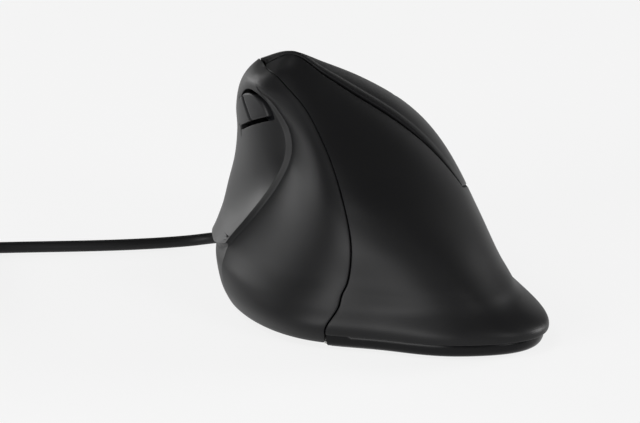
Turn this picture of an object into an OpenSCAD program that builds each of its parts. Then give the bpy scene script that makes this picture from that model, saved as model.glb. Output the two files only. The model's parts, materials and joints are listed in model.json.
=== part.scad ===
// Upright computer mouse for the right hand, with a thumb scoop, two main keys, a wheel,
// two side buttons and a cable. Millimetres: +X is right, +Y is front, +Z is up.

/* [Body] */
// overall length, back to front
body_l = 106; // [96:1:116]
// overall width, thumb rest to palm flange
body_w = 75.3; // [68:0.1:84]
// overall height
body_h = 64; // [58:1:70]
// wall of the shells
wall = 1.8; // [1.4:0.1:2.2]
// gap between two fixed panels that meet
panel_gap = 0.3; // [0.2:0.05:0.5]

/* [Keys and wheel] */
// diameter of the wheel over its tyre
wheel_d = 23; // [20:0.5:24]
// width of the tyre
wheel_w = 6.6; // [5:0.2:7]
// how far the wheel stands out of the bridge
wheel_out = 3; // [2.5:0.1:4.5]
// diameter of the wheel's axle
axle_d = 2.5; // [2:0.1:3]
// running clearance of a shaft in its hole, on the radius
shaft_gap = 0.05; // [0.03:0.01:0.1]
// how far the side buttons stand out of the scoop
side_out = 0.7; // [0.3:0.1:1.2]
// gap round a side button
side_gap = 0.5; // [0.3:0.05:0.7]

/* [Boards] */
// thickness of the circuit boards
board_t = 1.6; // [1:0.2:2]
// length of a key switch
switch_l = 12.8; // [11:0.2:14]
// width of a key switch
switch_w = 5.8; // [5:0.2:6.4]
// height of a key switch
switch_h = 6.5; // [6:0.1:7]
// side of a small push switch
tact_w = 6; // [5:0.2:6.4]
// height of a small push switch
tact_h = 3.5; // [3:0.1:4]

/* [Base] */
// thickness of the slide feet
foot_t = 0.8; // [0.5:0.1:1.2]
// thickness of the tray's floor
floor_t = 1.8; // [1.2:0.1:2.4]
// shank diameter of the case screws
screw_d = 2; // [1.6:0.1:2.4]

/* [Cable] */
// diameter of the cable
cord_d = 3; // [2.6:0.1:3.2]
// distance between neighbouring turns of the coil
coil_pitch = 3.5; // [3.4:0.1:4]
// width of the plug's grip
grip_w = 15.6; // [14:0.2:18]
// thickness of the plug's grip
grip_t = 7.6; // [7:0.2:9]

/* [Hidden] */
// the rows below are drawn at this size
draw_l = 106;
draw_w = 75.3;
draw_h = 64;
kx = body_w / draw_w;
ky = body_l / draw_l;
kz = body_h / draw_h;
eps = 0.01;

// Each row is a closed loop round the body, from the peak by the thumb down to the table:
// height at the left, height at the right, left, right, rear, front, middle x, middle y,
// roundness of the left half, roundness of the right half, lean, turn of the rear seam
loops = [
    [60.8, 60.8, -26.8, -26.4, 7, 11, -26.6, 9, 2.0, 2.0, 0, 236],
    [58.6, 64.2, -29.6, -19.5, 0, 18, -24.8, 10, 2.0, 2.0, 0, 242],
    [56.2, 61.6, -31.2, -12.0, -5, 26, -22.0, 13, 2.0, 2.0, 0, 250],
    [52.2, 56.5, -32.2, -4.0, -11, 34, -19.0, 17, 2.1, 2.1, 0, 256],
    [46.5, 49.5, -32.3, 7.0, -19, 41, -15.0, 19, 2.2, 2.2, 0, 259],
    [40.5, 42.5, -32.0, 15.5, -28, 45.5, -10.5, 18, 2.2, 2.2, 0, 257],
    [33.5, 34.5, -32.8, 21.5, -37.5, 48, -6.0, 14, 2.2, 2.2, 0, 252],
    [26.0, 26.0, -35.2, 24.6, -44.5, 49.5, -1.0, 8, 2.2, 2.3, 0.02, 246],
    [18.0, 18.0, -38.4, 26.6, -49.5, 50, 4.0, 0, 2.1, 2.4, 0.05, 240],
    [14.3, 14.3, -39.45, 27.76, -51.4, 50.05, 6.1, -4.1, 2.1, 2.58, 0.066, 236.5],
    [11.0, 11.0, -40.0, 29.2, -53.0, 50, 8.0, -8, 2.1, 2.8, 0.08, 233],
    [6.5, 6.5, -39.2, 33.4, -56.0, 49.5, 11.0, -14, 2.0, 3.3, 0.10, 227],
    [3.0, 3.0, -37.6, 33.2, -55.5, 48.5, 11.0, -14, 2.0, 3.3, 0.10, 225],
    [0.8, 0.8, -35.6, 31.0, -53.5, 46.5, 11.0, -14, 2.0, 3.2, 0.10, 224]
];
// The thumb side of the same loops: crease x, y, heading into it and out of it,
// then the swell ahead of it x, y and its heading, in degrees left of straight ahead,
// and how far the rim of the scoop stands out from the cover
thumbs = [
    [-26.8, 8.5, 0, 0, -26.8, 9.5, 0, 0],
    [-29.4, 6.0, 8, 8, -29.6, 10.0, -5, 0],
    [-30.0, 2.0, 12, 14, -31.1, 12.0, -4, 0.2],
    [-27.4, -1.5, 14, 30, -31.9, 15.0, -2, 0.9],
    [-24.6, -5.5, 14, 44, -32.0, 18.0, 0, 1.3],
    [-24.6, -7.0, 18, 42, -31.6, 20.0, -2, 1.3],
    [-28.2, -7.0, 26, 20, -32.4, 20.0, -2, 1.4],
    [-33.6, -5.5, 32, -4, -34.6, 19.0, -2, 1.4],
    [-38.8, -1.5, 26, -8, -37.4, 17.0, -8, 0.8],
    [-41.0, 8.0, 2, -8, -38.8, 18.0, -11, 1.2],
    [-39.7, 8.0, -6, -6, -38.2, 17.0, -12, 0],
    [-38.5, 7.0, -5, -5, -37.0, 17.0, -12, 0],
    [-36.7, 6.0, -5, -5, -35.4, 17.0, -12, 0],
    [-34.7, 6.0, -5, -5, -33.4, 17.0, -12, 0]
];
// where the box round those rows has its middle
mid_x = -2.56;
mid_y = -3.02;

function put(p) = [(p.x - mid_x) * kx, (p.y - mid_y) * ky, p.z * kz];
function bend4(a, b, c, d, t) = 0.5 * (2 * b + (c - a) * t + (2 * a - 5 * b + 4 * c - d) * t * t
    + (3 * b - a - 3 * c + d) * t * t * t);
function before(rows, i) = i > 0 ? rows[i - 1] : 2 * rows[0] - rows[1];
function after(rows, i) = i < len(rows) ? rows[i] : 2 * rows[len(rows) - 1] - rows[len(rows) - 2];
function along(rows, u) =
    let (i = max(0, min(len(rows) - 2, floor(u))))
    bend4(before(rows, i), rows[i], rows[i + 1], after(rows, i + 2), u - i);
function oval(r, turn) =
    let (c = cos(turn), s = sin(turn), n = r[8] + (r[9] - r[8]) * (1 + c) / 2,
         g = pow(pow(abs(c), n) + pow(abs(s), n), -1 / n),
         dy = (s > 0 ? r[5] - r[7] : r[7] - r[4]) * g * s)
    [r[6] + (c > 0 ? r[3] - r[6] : r[6] - r[2]) * g * c - r[10] * dy, r[7] + dy];
function lift(r, x) = r[3] - r[2] < 0.01 ? r[0] : r[0] + (r[1] - r[0]) * (x - r[2]) / (r[3] - r[2]);
function skin(v, turn) =
    let (r = along(loops, v), p = oval(r, turn))
    put([p.x, p.y, lift(r, p.x)]);

// thumb side: 0 at the rear seam, 1 at the crease, 2 at the swell, 3 at the front seam
front_turn = 110;
function heading(h) = [-sin(h), cos(h)];
function unit(p) = p / max(norm(p), 0.0001);
function bow(a, ta, b, tb, t) =
    let (d = norm(b - a) / 3, p = a + ta * d, q = b - tb * d, s = 1 - t)
    a * s * s * s + p * 3 * s * s * t + q * 3 * s * t * t + b * t * t * t;
rim_run = 0.4;
function thumb_xy(r, h, q) =
    let (a = oval(r, r[11]), f = oval(r, front_turn),
         ta = unit(oval(r, r[11] - 1) - a), tf = unit(f - oval(r, front_turn + 1)),
         c = [h[0], h[1]], m = [h[4], h[5]], foot = c - heading(h[2]) * rim_run + [h[7], -h[7] / 6])
    q < 1 ? bow(a, ta, foot, heading(h[2]), q)
    : q < 2 ? bow(c, heading(h[3]), m, heading(h[6]), q - 1)
    : bow(m, heading(h[6]), f, tf, q - 2);
function thumb_skin(v, q) =
    let (r = along(loops, v), p = thumb_xy(r, along(thumbs, v), q))
    put([p.x, p.y, lift(r, p.x)]);

// A shell panel: a grid of outer points, the same grid moved inwards, and a rim
function core(p) = [max(-18, min(8, p.x * 0.3)) * kx, max(-24, min(26, p.y * 0.6)) * ky,
    max(12, min(44, p.z * 0.8)) * kz];
function inward(p, t) = p + unit(core(p) - p) * t;
module panel(grid, t) {
    n = len(grid);
    m = len(grid[0]);
    pts = concat([for (row = grid) for (p = row) p], [for (row = grid) for (p = row) inward(p, t)]);
    o = n * m;
    faces = concat(
        [for (i = [0 : n - 2]) for (j = [0 : m - 2])
            [i * m + j, i * m + j + 1, (i + 1) * m + j + 1, (i + 1) * m + j]],
        [for (i = [0 : n - 2]) for (j = [0 : m - 2])
            [o + i * m + j, o + (i + 1) * m + j, o + (i + 1) * m + j + 1, o + i * m + j + 1]],
        [for (j = [0 : m - 2]) [j + 1, j, o + j, o + j + 1]],
        [for (j = [0 : m - 2]) let (k = (n - 1) * m) [k + j, k + j + 1, o + k + j + 1, o + k + j]],
        [for (i = [0 : n - 2]) [i * m, (i + 1) * m, o + (i + 1) * m, o + i * m]],
        [for (i = [0 : n - 2]) let (k = m - 1)
            [(i + 1) * m + k, i * m + k, o + i * m + k, o + (i + 1) * m + k]]);
    polyhedron(points = pts, faces = faces, convexity = 8);
}

rim_foot = 0.9999;
thumb_low = 12.6;
thumb_rows = 28;
thumb_cols = [for (i = [0 : 10]) i / 11, rim_foot, for (i = [0 : 11]) 1 + i / 12,
    for (i = [0 : 8]) 2 + i / 8];
module thumb_panel() {
    panel([for (q = thumb_cols) [for (k = [0 : thumb_rows])
        thumb_skin(thumb_low * k / thumb_rows, q)]], wall);
}

// the edge between palm shell and keys: turn and row of each point
crown_edge = [[-10, 0], [-30, 1], [-45, 2], [-43, 3], [-39, 4], [-36, 5], [-32, 6.2]];
lower_edge = [[-32, 6.2], [-14, 6.6], [5, 6.8], [25, 6.9], [45, 6.9]];
lip_edge = [[45, 6.9], [62, 6.6], [80, 6.0], [96, 5.5], [110, 5.2]];
function edge_at(rows, t) = along(rows, t * (len(rows) - 1));
palm_top = concat(
    [for (i = [0 : 15]) edge_at(crown_edge, i / 16)],
    [for (i = [0 : 11]) edge_at(lower_edge, i / 12)],
    [for (i = [0 : 10]) edge_at(lip_edge, i / 10)]);
palm_turns = concat(
    [for (i = [0 : 15]) -100 + 64 * i / 16],
    [for (i = [0 : 11]) -36 + 84 * i / 12],
    [for (i = [0 : 10]) 48 + 62 * i / 10]);
palm_low = 11.6;
// ribs between the rear seam and the first rib that starts at the keys
seam_ribs = 7;
function seam(v) = along(loops, v)[11] - 360;
// a rib turns fast where it leaves the edge of the keys
function rib_turn(i, u) = palm_turns[i] + (palm_top[i][0] - palm_turns[i]) * pow(1 - u, 3);
function seam_rib(i, v) = skin(v, seam(v) + (rib_turn(0, v / palm_low) - seam(v)) * i / seam_ribs);
function key_rib(i, u) = skin(palm_top[i][1] + (palm_low - palm_top[i][1]) * u, rib_turn(i, u));
function palm_skin(i, u) = i < seam_ribs ? seam_rib(i, palm_low * u) : key_rib(i - seam_ribs, u);
palm_rows = 18;
palm_last = len(palm_top) - 1 + seam_ribs;
function drawn_in(p, q) = p + unit(q - p) * min(panel_gap, 0.4 * norm(q - p));
function palm_point(i, u) =
    i == 0 ? drawn_in(palm_skin(0, u), palm_skin(1, u))
    : i == palm_last ? drawn_in(palm_skin(i, u), palm_skin(i - 1, u)) : palm_skin(i, u);
module palm_shell() {
    color("#1d1d1f")
        panel([for (i = [palm_last : -1 : 0]) [for (k = [0 : palm_rows])
            palm_point(i, k / palm_rows)]], wall);
}

// key deck between the four edges
function edge_point(rows, t) = let (p = edge_at(rows, t)) skin(p[1], p[0]);
corner_run = 0.06;
function left_edge(t) =
    skin(lip_edge[4][1] * t, front_turn - (front_turn - crown_edge[0][0]) * max(0, 1 - t / corner_run));
deck_rise = 6.5;
deck_out = unit([0.62, 0.12, 0.78]);
function deck(w, t) =
    let (p = edge_point(crown_edge, 0), k = edge_point(crown_edge, 1),
         q = edge_point(lip_edge, 0), r = edge_point(lip_edge, 1))
    edge_point(crown_edge, w) * (1 - t) + edge_point(lip_edge, 1 - w) * t
    + left_edge(t) * (1 - w) + edge_point(lower_edge, t) * w
    - p * (1 - w) * (1 - t) - k * w * (1 - t) - r * (1 - w) * t - q * w * t
    + deck_out * deck_rise * sin(180 * pow(w, 1.4)) * sin(180 * pow(t, 0.8));
// A fixed plate, the keys and the bridge share the deck. The keys flex from the plate's front edge,
// and the gaps beside them widen to the front, where they travel most.
key_rear = 0.012;
plate_front = 0.3;
key_root = 0.31;
key_front = 0.955;
deck_rows = 14;
function key_left(t) = 0.006 + 0.034 * t;
function key_right(t) = 0.994 - 0.056 * t;
bridge_from = 0.42;
bridge_to = 0.62;
key_gap_w = 0.01;
module deck_panel(from, to, n, rear, front) {
    panel([for (i = [0 : n]) [for (k = [0 : deck_rows])
        let (t = rear + (front - rear) * k / deck_rows, a = from(t), b = to(t))
        deck(a + (b - a) * i / n, t)]], wall);
}

// Frame on the deck at the wheel: x across the keys, y forwards, z out of the deck
deck_mid = (bridge_from + bridge_to) / 2;
wheel_t = 0.64;
deck_step = 0.1;
deck_o = deck(deck_mid, wheel_t);
deck_x = unit(deck(bridge_to, wheel_t) - deck(bridge_from, wheel_t));
deck_z = unit(cross(deck_x, deck(deck_mid, wheel_t + deck_step) - deck(deck_mid, wheel_t - deck_step)));
deck_y = cross(deck_z, deck_x);
function to_deck(p) = [(p - deck_o) * deck_x, (p - deck_o) * deck_y, (p - deck_o) * deck_z];
function at_deck(x, y, z) = deck_o + deck_x * x + deck_y * y + deck_z * z;
module on_deck() {
    multmatrix([[deck_x.x, deck_y.x, deck_z.x, deck_o.x], [deck_x.y, deck_y.y, deck_z.y, deck_o.y],
        [deck_x.z, deck_y.z, deck_z.z, deck_o.z], [0, 0, 0, 1]]) children();
}
module across(x0, x1, y, z, r) {
    translate([x0, y, z]) rotate([0, 90, 0]) cylinder(r = r, h = x1 - x0, $fn = 48);
}
module block(x0, x1, y0, y1, z0, z1) {
    translate([x0, y0, z0]) cube([x1 - x0, y1 - y0, z1 - z0]);
}
module post(at, z, r, h) {
    translate([at.x, at.y, z]) cylinder(r = r, h = h, $fn = 32);
}
module slot(half, r, h) {
    translate([-r, -half + r, 0]) cube([2 * r, 2 * (half - r), h]);
    for (s = [-1, 1]) translate([0, s * (half - r), 0]) cylinder(r = r, h = h, $fn = 48);
}

// Heights below the deck's frame
board_z = -14;
plunge_room = 0.75;
press_gap = 0.05;
pin_out = 0.7;
cap_out = 1;
press_z = board_z + switch_h + pin_out;
tact_top = board_z + tact_h + cap_out;
pin_r = 0.9;
cap_r = 1.7;
stem_r = 1.3;
press_t = wheel_t + 0.08;
left_at = to_deck(deck(0.30, press_t));
right_at = to_deck(deck(0.72, press_t));
tail_at = [-3.6, -20.8];
module key_stem(at) {
    on_deck() post(at, press_z + press_gap, stem_r, at.z - wall / 2 - press_z);
}
function plate_from(t) = 0.006 + 0.01 * t;
function plate_to(t) = 0.994 - 0.012 * t;
module key_plate() {
    color("#1d1d1f")
        deck_panel(function (t) plate_from(t), function (t) plate_to(t), 24, key_rear, plate_front);
}
module left_button() {
    color("#202022") {
        deck_panel(function (t) key_left(t), function (t) bridge_from - key_gap_w, 12, key_root, key_front);
        key_stem(left_at);
    }
}
module right_button() {
    color("#202022") {
        deck_panel(function (t) bridge_to + key_gap_w, function (t) key_right(t), 12, key_root, key_front);
        key_stem(right_at);
    }
}

// Bridge between the keys, with the wheel's slot
slot_side = 0.9;
slot_reach = 9;
bridge_front = 0.985;
wheel_r = wheel_d / 2;
wheel_z = wheel_out - wheel_r;
slot_half = sqrt(wheel_r * wheel_r - pow(wheel_z + 2 * wall, 2)) + slot_side;
module button_bridge() {
    color("#161617") difference() {
        deck_panel(function (t) bridge_from, function (t) bridge_to, 6, key_root, bridge_front);
        on_deck() translate([0, 0, -slot_reach]) slot(slot_half, wheel_w / 2 + slot_side, 2 * slot_reach);
    }
}

// Wheel, its axle and the cradle that tips when the wheel is pressed
tyre_t = 2;
rib_count = 24;
rib_r = 0.55;
hub_w = wheel_w - 1;
axle_r = axle_d / 2;
spoke_count = 6;
cradle_in = wheel_w / 2 + 0.9;
cradle_side = 2.2;
cradle_out = cradle_in + cradle_side;
cradle_rear = -16.2;
cradle_front = 17.5;
cradle_low = tact_top + 2 * press_gap;
cradle_high = wheel_z + 1.5;
pivot_y = -14.4;
pivot_r = 1;
middle_y = 15.5;
module on_wheel() {
    on_deck() translate([0, 0, wheel_z]) rotate([0, 90, 0]) children();
}
module wheel_tyre() {
    color("#262628") on_wheel() difference() {
        rotate_extrude($fn = 96) translate([wheel_r - tyre_t, 0]) {
            translate([0, -wheel_w / 2 + 0.8]) square([tyre_t, wheel_w - 1.6]);
            translate([0, -wheel_w / 2]) square([tyre_t - 0.8, wheel_w]);
            for (s = [-1, 1]) translate([tyre_t - 0.8, s * (wheel_w / 2 - 0.8)]) circle(r = 0.8, $fn = 32);
        }
        for (i = [0 : rib_count - 1]) rotate([0, 0, i * 360 / rib_count])
            translate([wheel_r + 0.1, 0, -wheel_w]) cylinder(r = rib_r, h = 2 * wheel_w, $fn = 24);
    }
}
module wheel_hub() {
    color("#8f9093") on_wheel() difference() {
        translate([0, 0, -hub_w / 2]) cylinder(r = wheel_r - tyre_t - 0.02, h = hub_w, $fn = 96);
        translate([0, 0, -hub_w]) cylinder(r = axle_r + 0.02, h = 2 * hub_w, $fn = 48);
        for (i = [0 : spoke_count - 1]) rotate([0, 0, i * 360 / spoke_count])
            translate([wheel_r * 0.52, 0, -hub_w]) cylinder(r = wheel_r * 0.16, h = 2 * hub_w, $fn = 32);
        for (s = [-1, 1]) translate([0, 0, s * hub_w / 2]) rotate_extrude($fn = 64)
            translate([wheel_r * 0.3, -0.8]) square([wheel_r * 0.44, 1.6]);
    }
}
encoder_t = 3;
module wheel_axle() {
    color("#b9babd") on_deck() across(-cradle_out, cradle_out + encoder_t - 0.6, 0, wheel_z, axle_r);
}
module wheel_cradle() {
    color("#3a3b3e") on_deck() difference() {
        block(-cradle_out, cradle_out, cradle_rear, cradle_front, cradle_low, cradle_high);
        block(-cradle_in, cradle_in, -wheel_r - 0.6, wheel_r + 0.6, cradle_low - 1, cradle_high + 1);
        across(-cradle_out - 1, cradle_out + 1, 0, wheel_z, axle_r + shaft_gap);
        across(-cradle_out - 1, cradle_out + 1, pivot_y, wheel_z, pivot_r + shaft_gap);
    }
}
module encoder() {
    color("#27506b") on_deck() difference() {
        union() {
            block(cradle_out, cradle_out + encoder_t, -4.5, 4.5, wheel_z - 4.2, wheel_z + 1);
            across(cradle_out, cradle_out + encoder_t, 0, wheel_z + 0.5, 3.6);
        }
        across(cradle_out - 1, cradle_out + encoder_t - 0.5, 0, wheel_z, axle_r + shaft_gap);
    }
}

// Switches on the key board
pin_shift = 2.5;
pin_deep = 3;
switch_hole = 0.8;
cap_floor = 0.8;
module switch_body(at) {
    on_deck() difference() {
        translate([at.x - switch_w / 2, at.y - switch_l / 2 - pin_shift, board_z])
            cube([switch_w, switch_l, switch_h]);
        post(at, press_z - pin_out - pin_deep, pin_r + shaft_gap, pin_deep + 1);
        for (e = [-1, 1]) across(at.x - switch_w, at.x + switch_w, at.y - pin_shift + e * switch_l / 4,
            board_z + switch_h / 4, switch_hole);
    }
}
module switch_pin(at) {
    on_deck() post(at, press_z - pin_out - pin_deep + plunge_room, pin_r, pin_deep - plunge_room + pin_out);
}
module tact_body() {
    difference() {
        translate([-tact_w / 2, -tact_w / 2, 0]) cube([tact_w, tact_w, tact_h]);
        post([0, 0], cap_floor, cap_r + shaft_gap, tact_h);
    }
}
module tact_cap() {
    post([0, 0], cap_floor + plunge_room, cap_r, tact_h + cap_out - cap_floor - plunge_room);
}
module left_switch() { color("#1f3a5f") switch_body(left_at); }
module right_switch() { color("#1f3a5f") switch_body(right_at); }
module left_plunger() { color("#d8d4c4") switch_pin(left_at); }
module right_plunger() { color("#d8d4c4") switch_pin(right_at); }
module middle_switch() { color("#303236") on_deck() translate([0, middle_y, board_z]) tact_body(); }
module middle_plunger() { color("#8d3b34") on_deck() translate([0, middle_y, board_z]) tact_cap(); }

// Key board with its window for the wheel, and the frame that carries it
lug_in = cradle_out + 0.3;
lug_out = lug_in + 2;
key_board_left = left_at.x - switch_w / 2 - 1.5;
key_board_right = right_at.x + switch_w / 2 + 1.5;
key_board_front = 19;
key_board_step = -11.6;
key_board_neck = -17;
board_nick = 3.6;
neck_half = lug_in - 0.4;
tail_half = tact_w / 2 + 1.2;
key_board_rear = tail_at.y - tail_half;
window_half = sqrt(wheel_r * wheel_r - pow(wheel_z - board_z, 2)) + slot_side;
post_r = 2.3;
screw_r = screw_d / 2;
screw_room = 0.2;
post_h = 2;
plate_t = 1.6;
post_top = board_z - board_t;
plate_top = post_top - post_h;
plate_low = plate_top - plate_t;
plate_left = left_at.x - 2;
plate_rear = -17.4;
post_left = left_at.x + 1.9;
post_right = key_board_right - 2.6;
post_front = key_board_front - 2.6;
frame_posts = [[post_left, -9], [post_right, -9], [post_right, post_front], [post_left, post_front]];
legs = [for (i = [0 : 2]) frame_posts[i]];
module key_board() {
    color("#1f5a3a") on_deck() difference() {
        union() {
            block(key_board_left, key_board_right, key_board_step, key_board_front, post_top, board_z);
            block(-neck_half, neck_half, key_board_neck - eps, key_board_step + eps, post_top, board_z);
            block(tail_at.x - tail_half, tail_at.x + tail_half, key_board_rear, key_board_neck,
                post_top, board_z);
        }
        block(-cradle_in, cradle_in, -window_half, window_half, post_top - 1, board_z + 1);
        block(key_board_left - 1, key_board_left + board_nick, key_board_front - board_nick,
            key_board_front + 1, post_top - 1, board_z + 1);
        for (p = frame_posts) post(p, post_top - 1, screw_r + screw_room, board_t + 2);
    }
}
leg_r = 2.6;
leg_bore = 8;
leg_room = 0.5;
tray_low = foot_t;
tray_floor = tray_low + floor_t;
function leg_at(p) = at_deck(p.x, p.y, plate_low + plate_t / 2);
module board_frame() {
    color("#2d2e31") difference() {
        union() {
            on_deck() difference() {
                block(plate_left, key_board_right, plate_rear, key_board_front, plate_low, plate_top);
                block(-cradle_in, cradle_in, -window_half - 2, window_half + 1, plate_low - 1, plate_top + 1);
            }
            on_deck() for (p = frame_posts) post(p, plate_top - eps, post_r, post_h + eps);
            on_deck() for (s = [-1, 1]) block(min(s * lug_in, s * lug_out), max(s * lug_in, s * lug_out),
                pivot_y - 1.9, pivot_y + 1.9, plate_low, wheel_z + pivot_r + 0.3);
            for (p = legs) let (q = leg_at(p)) difference() {
                translate([q.x, q.y, tray_floor]) cylinder(r = leg_r, h = q.z - tray_floor + 4, $fn = 48);
                on_deck() translate([-60, -60, plate_low + plate_t / 2]) cube([120, 120, 60]);
            }
        }
        on_deck() across(-lug_out - 1, lug_out + 1, pivot_y, wheel_z, pivot_r + 0.02);
        for (p = legs) post(leg_at(p), tray_floor - 1, screw_r + shaft_gap, leg_bore + 1);
        on_deck() for (p = frame_posts) post(p, post_top - 3, screw_r + shaft_gap, 4);
        ribbon_strip(ribbon_room);
    }
}
module cradle_pin() {
    color("#b9babd") on_deck() across(-lug_out, lug_out, pivot_y, wheel_z, pivot_r);
}

// Main board in the base, with sensor, lens and sockets
main_z = 6.2;
chip = [10, 9.2, 2.8];
chip_gap = 1.5;
plug_gap = 3.3;
socket_half = 2;
plug_half = 2.3;
board_rim = 1;
post_in = 2.4;
ribbon_top = at_deck(tail_at.x, tail_at.y, post_top);
sensor_at = [-2, ribbon_top.y + socket_half + chip_gap + chip.y / 2];
plug_y = sensor_at.y + chip.y / 2 + plug_gap + plug_half;
main_box = [-9.4, 5.4, -6, plug_y + plug_half + board_rim];
lens_r = 2.6;
main_posts = [[-7, main_box[2] + post_in], [main_box[1] - post_in, main_box[2] + post_in],
    [main_box[1] - post_in, main_box[3] - post_in]];
module main_board() {
    color("#1f5a3a") difference() {
        block(main_box[0], main_box[1], main_box[2], main_box[3], main_z, main_z + board_t);
        post(sensor_at, main_z - 1, lens_r - screw_room, board_t + 2);
        for (p = main_posts) post(p, main_z - 1, screw_r + screw_room, board_t + 2);
        for (p = legs) post(leg_at(p), main_z - 1, leg_r + leg_room, board_t + 2);
    }
}
main_top = main_z + board_t;
module sensor_chip() {
    color("#141416") block(sensor_at.x - chip.x / 2, sensor_at.x + chip.x / 2, sensor_at.y - chip.y / 2,
        sensor_at.y + chip.y / 2, main_top, main_top + chip.z);
}
lens_half = [5.9, 5];
lens_drop = 1.1;
module sensor_lens() {
    color("#cfe3ee") {
        block(sensor_at.x - lens_half.x, sensor_at.x + lens_half.x, sensor_at.y - lens_half.y,
            sensor_at.y + lens_half.y, tray_floor, main_z);
        post(sensor_at, tray_floor - lens_drop, lens_r, lens_drop + eps);
    }
}
ribbon_w = 8;
ribbon_t = 0.5;
ribbon_room = 0.8;
socket_h = 4;
module ribbon_socket() {
    color("#d9d6c9") block(ribbon_top.x - ribbon_w / 2 - 1.5, ribbon_top.x + ribbon_w / 2 + 1.5,
        ribbon_top.y - socket_half, ribbon_top.y + socket_half, main_top, main_top + socket_h);
}
module ribbon_strip(room) {
    block(ribbon_top.x - ribbon_w / 2 - room, ribbon_top.x + ribbon_w / 2 + room,
        ribbon_top.y - ribbon_t / 2 - room, ribbon_top.y + ribbon_t / 2 + room,
        main_top + socket_h, ribbon_top.z + ribbon_w);
}
module ribbon_cable() {
    color("#b8b9bb") difference() {
        ribbon_strip(0);
        on_deck() translate([-60, -60, post_top]) cube([120, 120, 60]);
    }
}
plug_socket = [-8.6, -0.6];
plug_socket_h = 5;
module cable_socket() {
    color("#d9d6c9") block(plug_socket[0], plug_socket[1], plug_y - plug_half, plug_y + plug_half,
        main_top, main_top + plug_socket_h);
}

// Base tray
tray_row = 12.1;
tray_edge = 0.5;
tray_lip = 1.5;
tray_under = 0.8;
tray_top = 4.1;
tray_step = 1.8;
tray_centre = [0, -4];
function inset(p, d) = let (q = [p.x, p.y] - tray_centre) tray_centre + q * (1 - d / norm(q));
seam_turn = along(loops, tray_row)[11] - 360;
tray_turns = 72;
tray_sides = 48;
tray_tuck = 0.4;
tray_room = 1.6;
tray_line = concat(
    [for (i = [0 : tray_turns]) let (a = seam_turn + tray_room, b = front_turn - tray_room)
        [skin(tray_row, a + (b - a) * i / tray_turns), tray_edge]],
    [for (i = [0 : tray_sides])
        [thumb_skin(thumb_low, 3 - 3 * i / tray_sides), wall + tray_edge + tray_tuck]]);
function tray_outline(d) = [for (p = tray_line) inset(p[0], p[1] + d)];
head_r = 2.3;
head_h = 1;
module tray_slab(z0, z1, d) {
    translate([0, 0, z0]) linear_extrude(z1 - z0) polygon(tray_outline(d));
}
module base_tray() {
    color("#19191b") difference() {
        union() {
            difference() {
                union() {
                    tray_slab(tray_low, tray_step + eps, tray_under);
                    tray_slab(tray_step, tray_top, 0);
                }
                tray_slab(tray_floor, tray_top + 1, tray_lip);
            }
            for (p = main_posts) post(p, tray_floor - eps, post_r, main_z - tray_floor + eps);
        }
        post(sensor_at, 0, lens_r + 2 * shaft_gap, tray_floor + 1);
        for (p = main_posts) post(p, main_z - 4.6, screw_r + shaft_gap, 6);
        for (p = legs) {
            post(leg_at(p), 0, screw_r + screw_room, 6);
            post(leg_at(p), 0, head_r + screw_room, tray_low + head_h + 0.1);
        }
    }
}
module screw(head, length) {
    cylinder(r = head_r, h = head, $fn = 32);
    post([0, 0], head - eps, screw_r, length);
}
module case_screws() {
    color("#3c3d40") for (p = legs) let (q = leg_at(p))
        translate([q.x, q.y, tray_low + 0.1]) screw(head_h, leg_bore);
}
module board_screws() {
    color("#8c8d90") {
        on_deck() for (p = frame_posts) translate([p.x, p.y, board_z + 1.2]) mirror([0, 0, 1]) screw(1.2, 4);
        for (p = main_posts) translate([p.x, p.y, main_top + 1.2]) mirror([0, 0, 1]) screw(1.2, 4.4);
        for (p = side_posts) translate([side_x + board_t + 1.2, p.x, p.y])
            rotate([0, -90, 0]) screw(1.2, 4.4);
    }
}
feet_at = [[-22.5, 15, 14], [6.8, 44.4, 80], [20.8, -30, -14], [-9.2, -36, 58]];
foot_half = 9;
foot_r = 2.6;
module feet() {
    color("#e6e6e2") for (f = feet_at) translate([f.x * kx, f.y * ky, 0])
        rotate([0, 0, f.z]) slot(foot_half, foot_r, foot_t);
}

// Side buttons: a D-shaped pocket in the scoop, seen along X, split into a rear and a front button
pocket_turn = -21;
pocket_o = [1.6, 50];
pocket_mid = 9.2;
pocket_half = 9.6;
pocket_rise = 8.6;
split_at = 7.6;
split_lean = 0.38;
function pocket_line(d) = [for (i = [0 : 24]) let (a = i * 180 / 24)
    [pocket_mid + (pocket_half - d) * cos(a), d + (pocket_rise - 2 * d) * pow(sin(a), 0.8)]];
module along_x(x0, x1) {
    translate([x0, pocket_o.x * ky, pocket_o.y * kz]) rotate([90, 0, 90]) linear_extrude(x1 - x0)
        rotate(pocket_turn) children();
}
module side_half(rear) {
    intersection() {
        polygon(pocket_line(side_gap));
        let (x0 = split_at - side_gap / 4, x1 = split_at + side_gap / 4, h = 12)
            polygon(rear ? [[-9, -h], [x0 - h * split_lean, -h], [x0 + h * split_lean, h], [-9, h]]
                : [[40, -h], [x1 - h * split_lean, -h], [x1 + h * split_lean, h], [40, h]]);
    }
}
side_t = 2.4;
function outward(p, t) = p - unit(core(p) - p) * t;
module side_patch() {
    panel([for (i = [0 : 12]) [for (k = [0 : 12])
        outward(thumb_skin(1.2 + 4 * k / 12, 1.02 + 1.3 * i / 12), side_out)]], side_t);
}
side_x = -19.2 * kx;
side_board_y = [1 * ky, 1 * ky + 19];
side_board_z = [56 * kz - 18.5, 56 * kz];
back_at = [6.4 * ky, 51.6 * kz];
forward_at = [14.6 * ky, 48.4 * kz];
side_press = side_x - tact_h - cap_out;
module side_stem(at) {
    across(-60, side_press - press_gap, at.x, at.y, stem_r);
}
module side_button(rear, at, root) {
    intersection() {
        side_patch();
        along_x(-50, -10) side_half(rear);
    }
    intersection() {
        side_stem(at);
        block(root, 0, -20, 40, 0, 90);
    }
}
module back_button() { color("#26272a") side_button(true, back_at, -26.2 * kx); }
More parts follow.
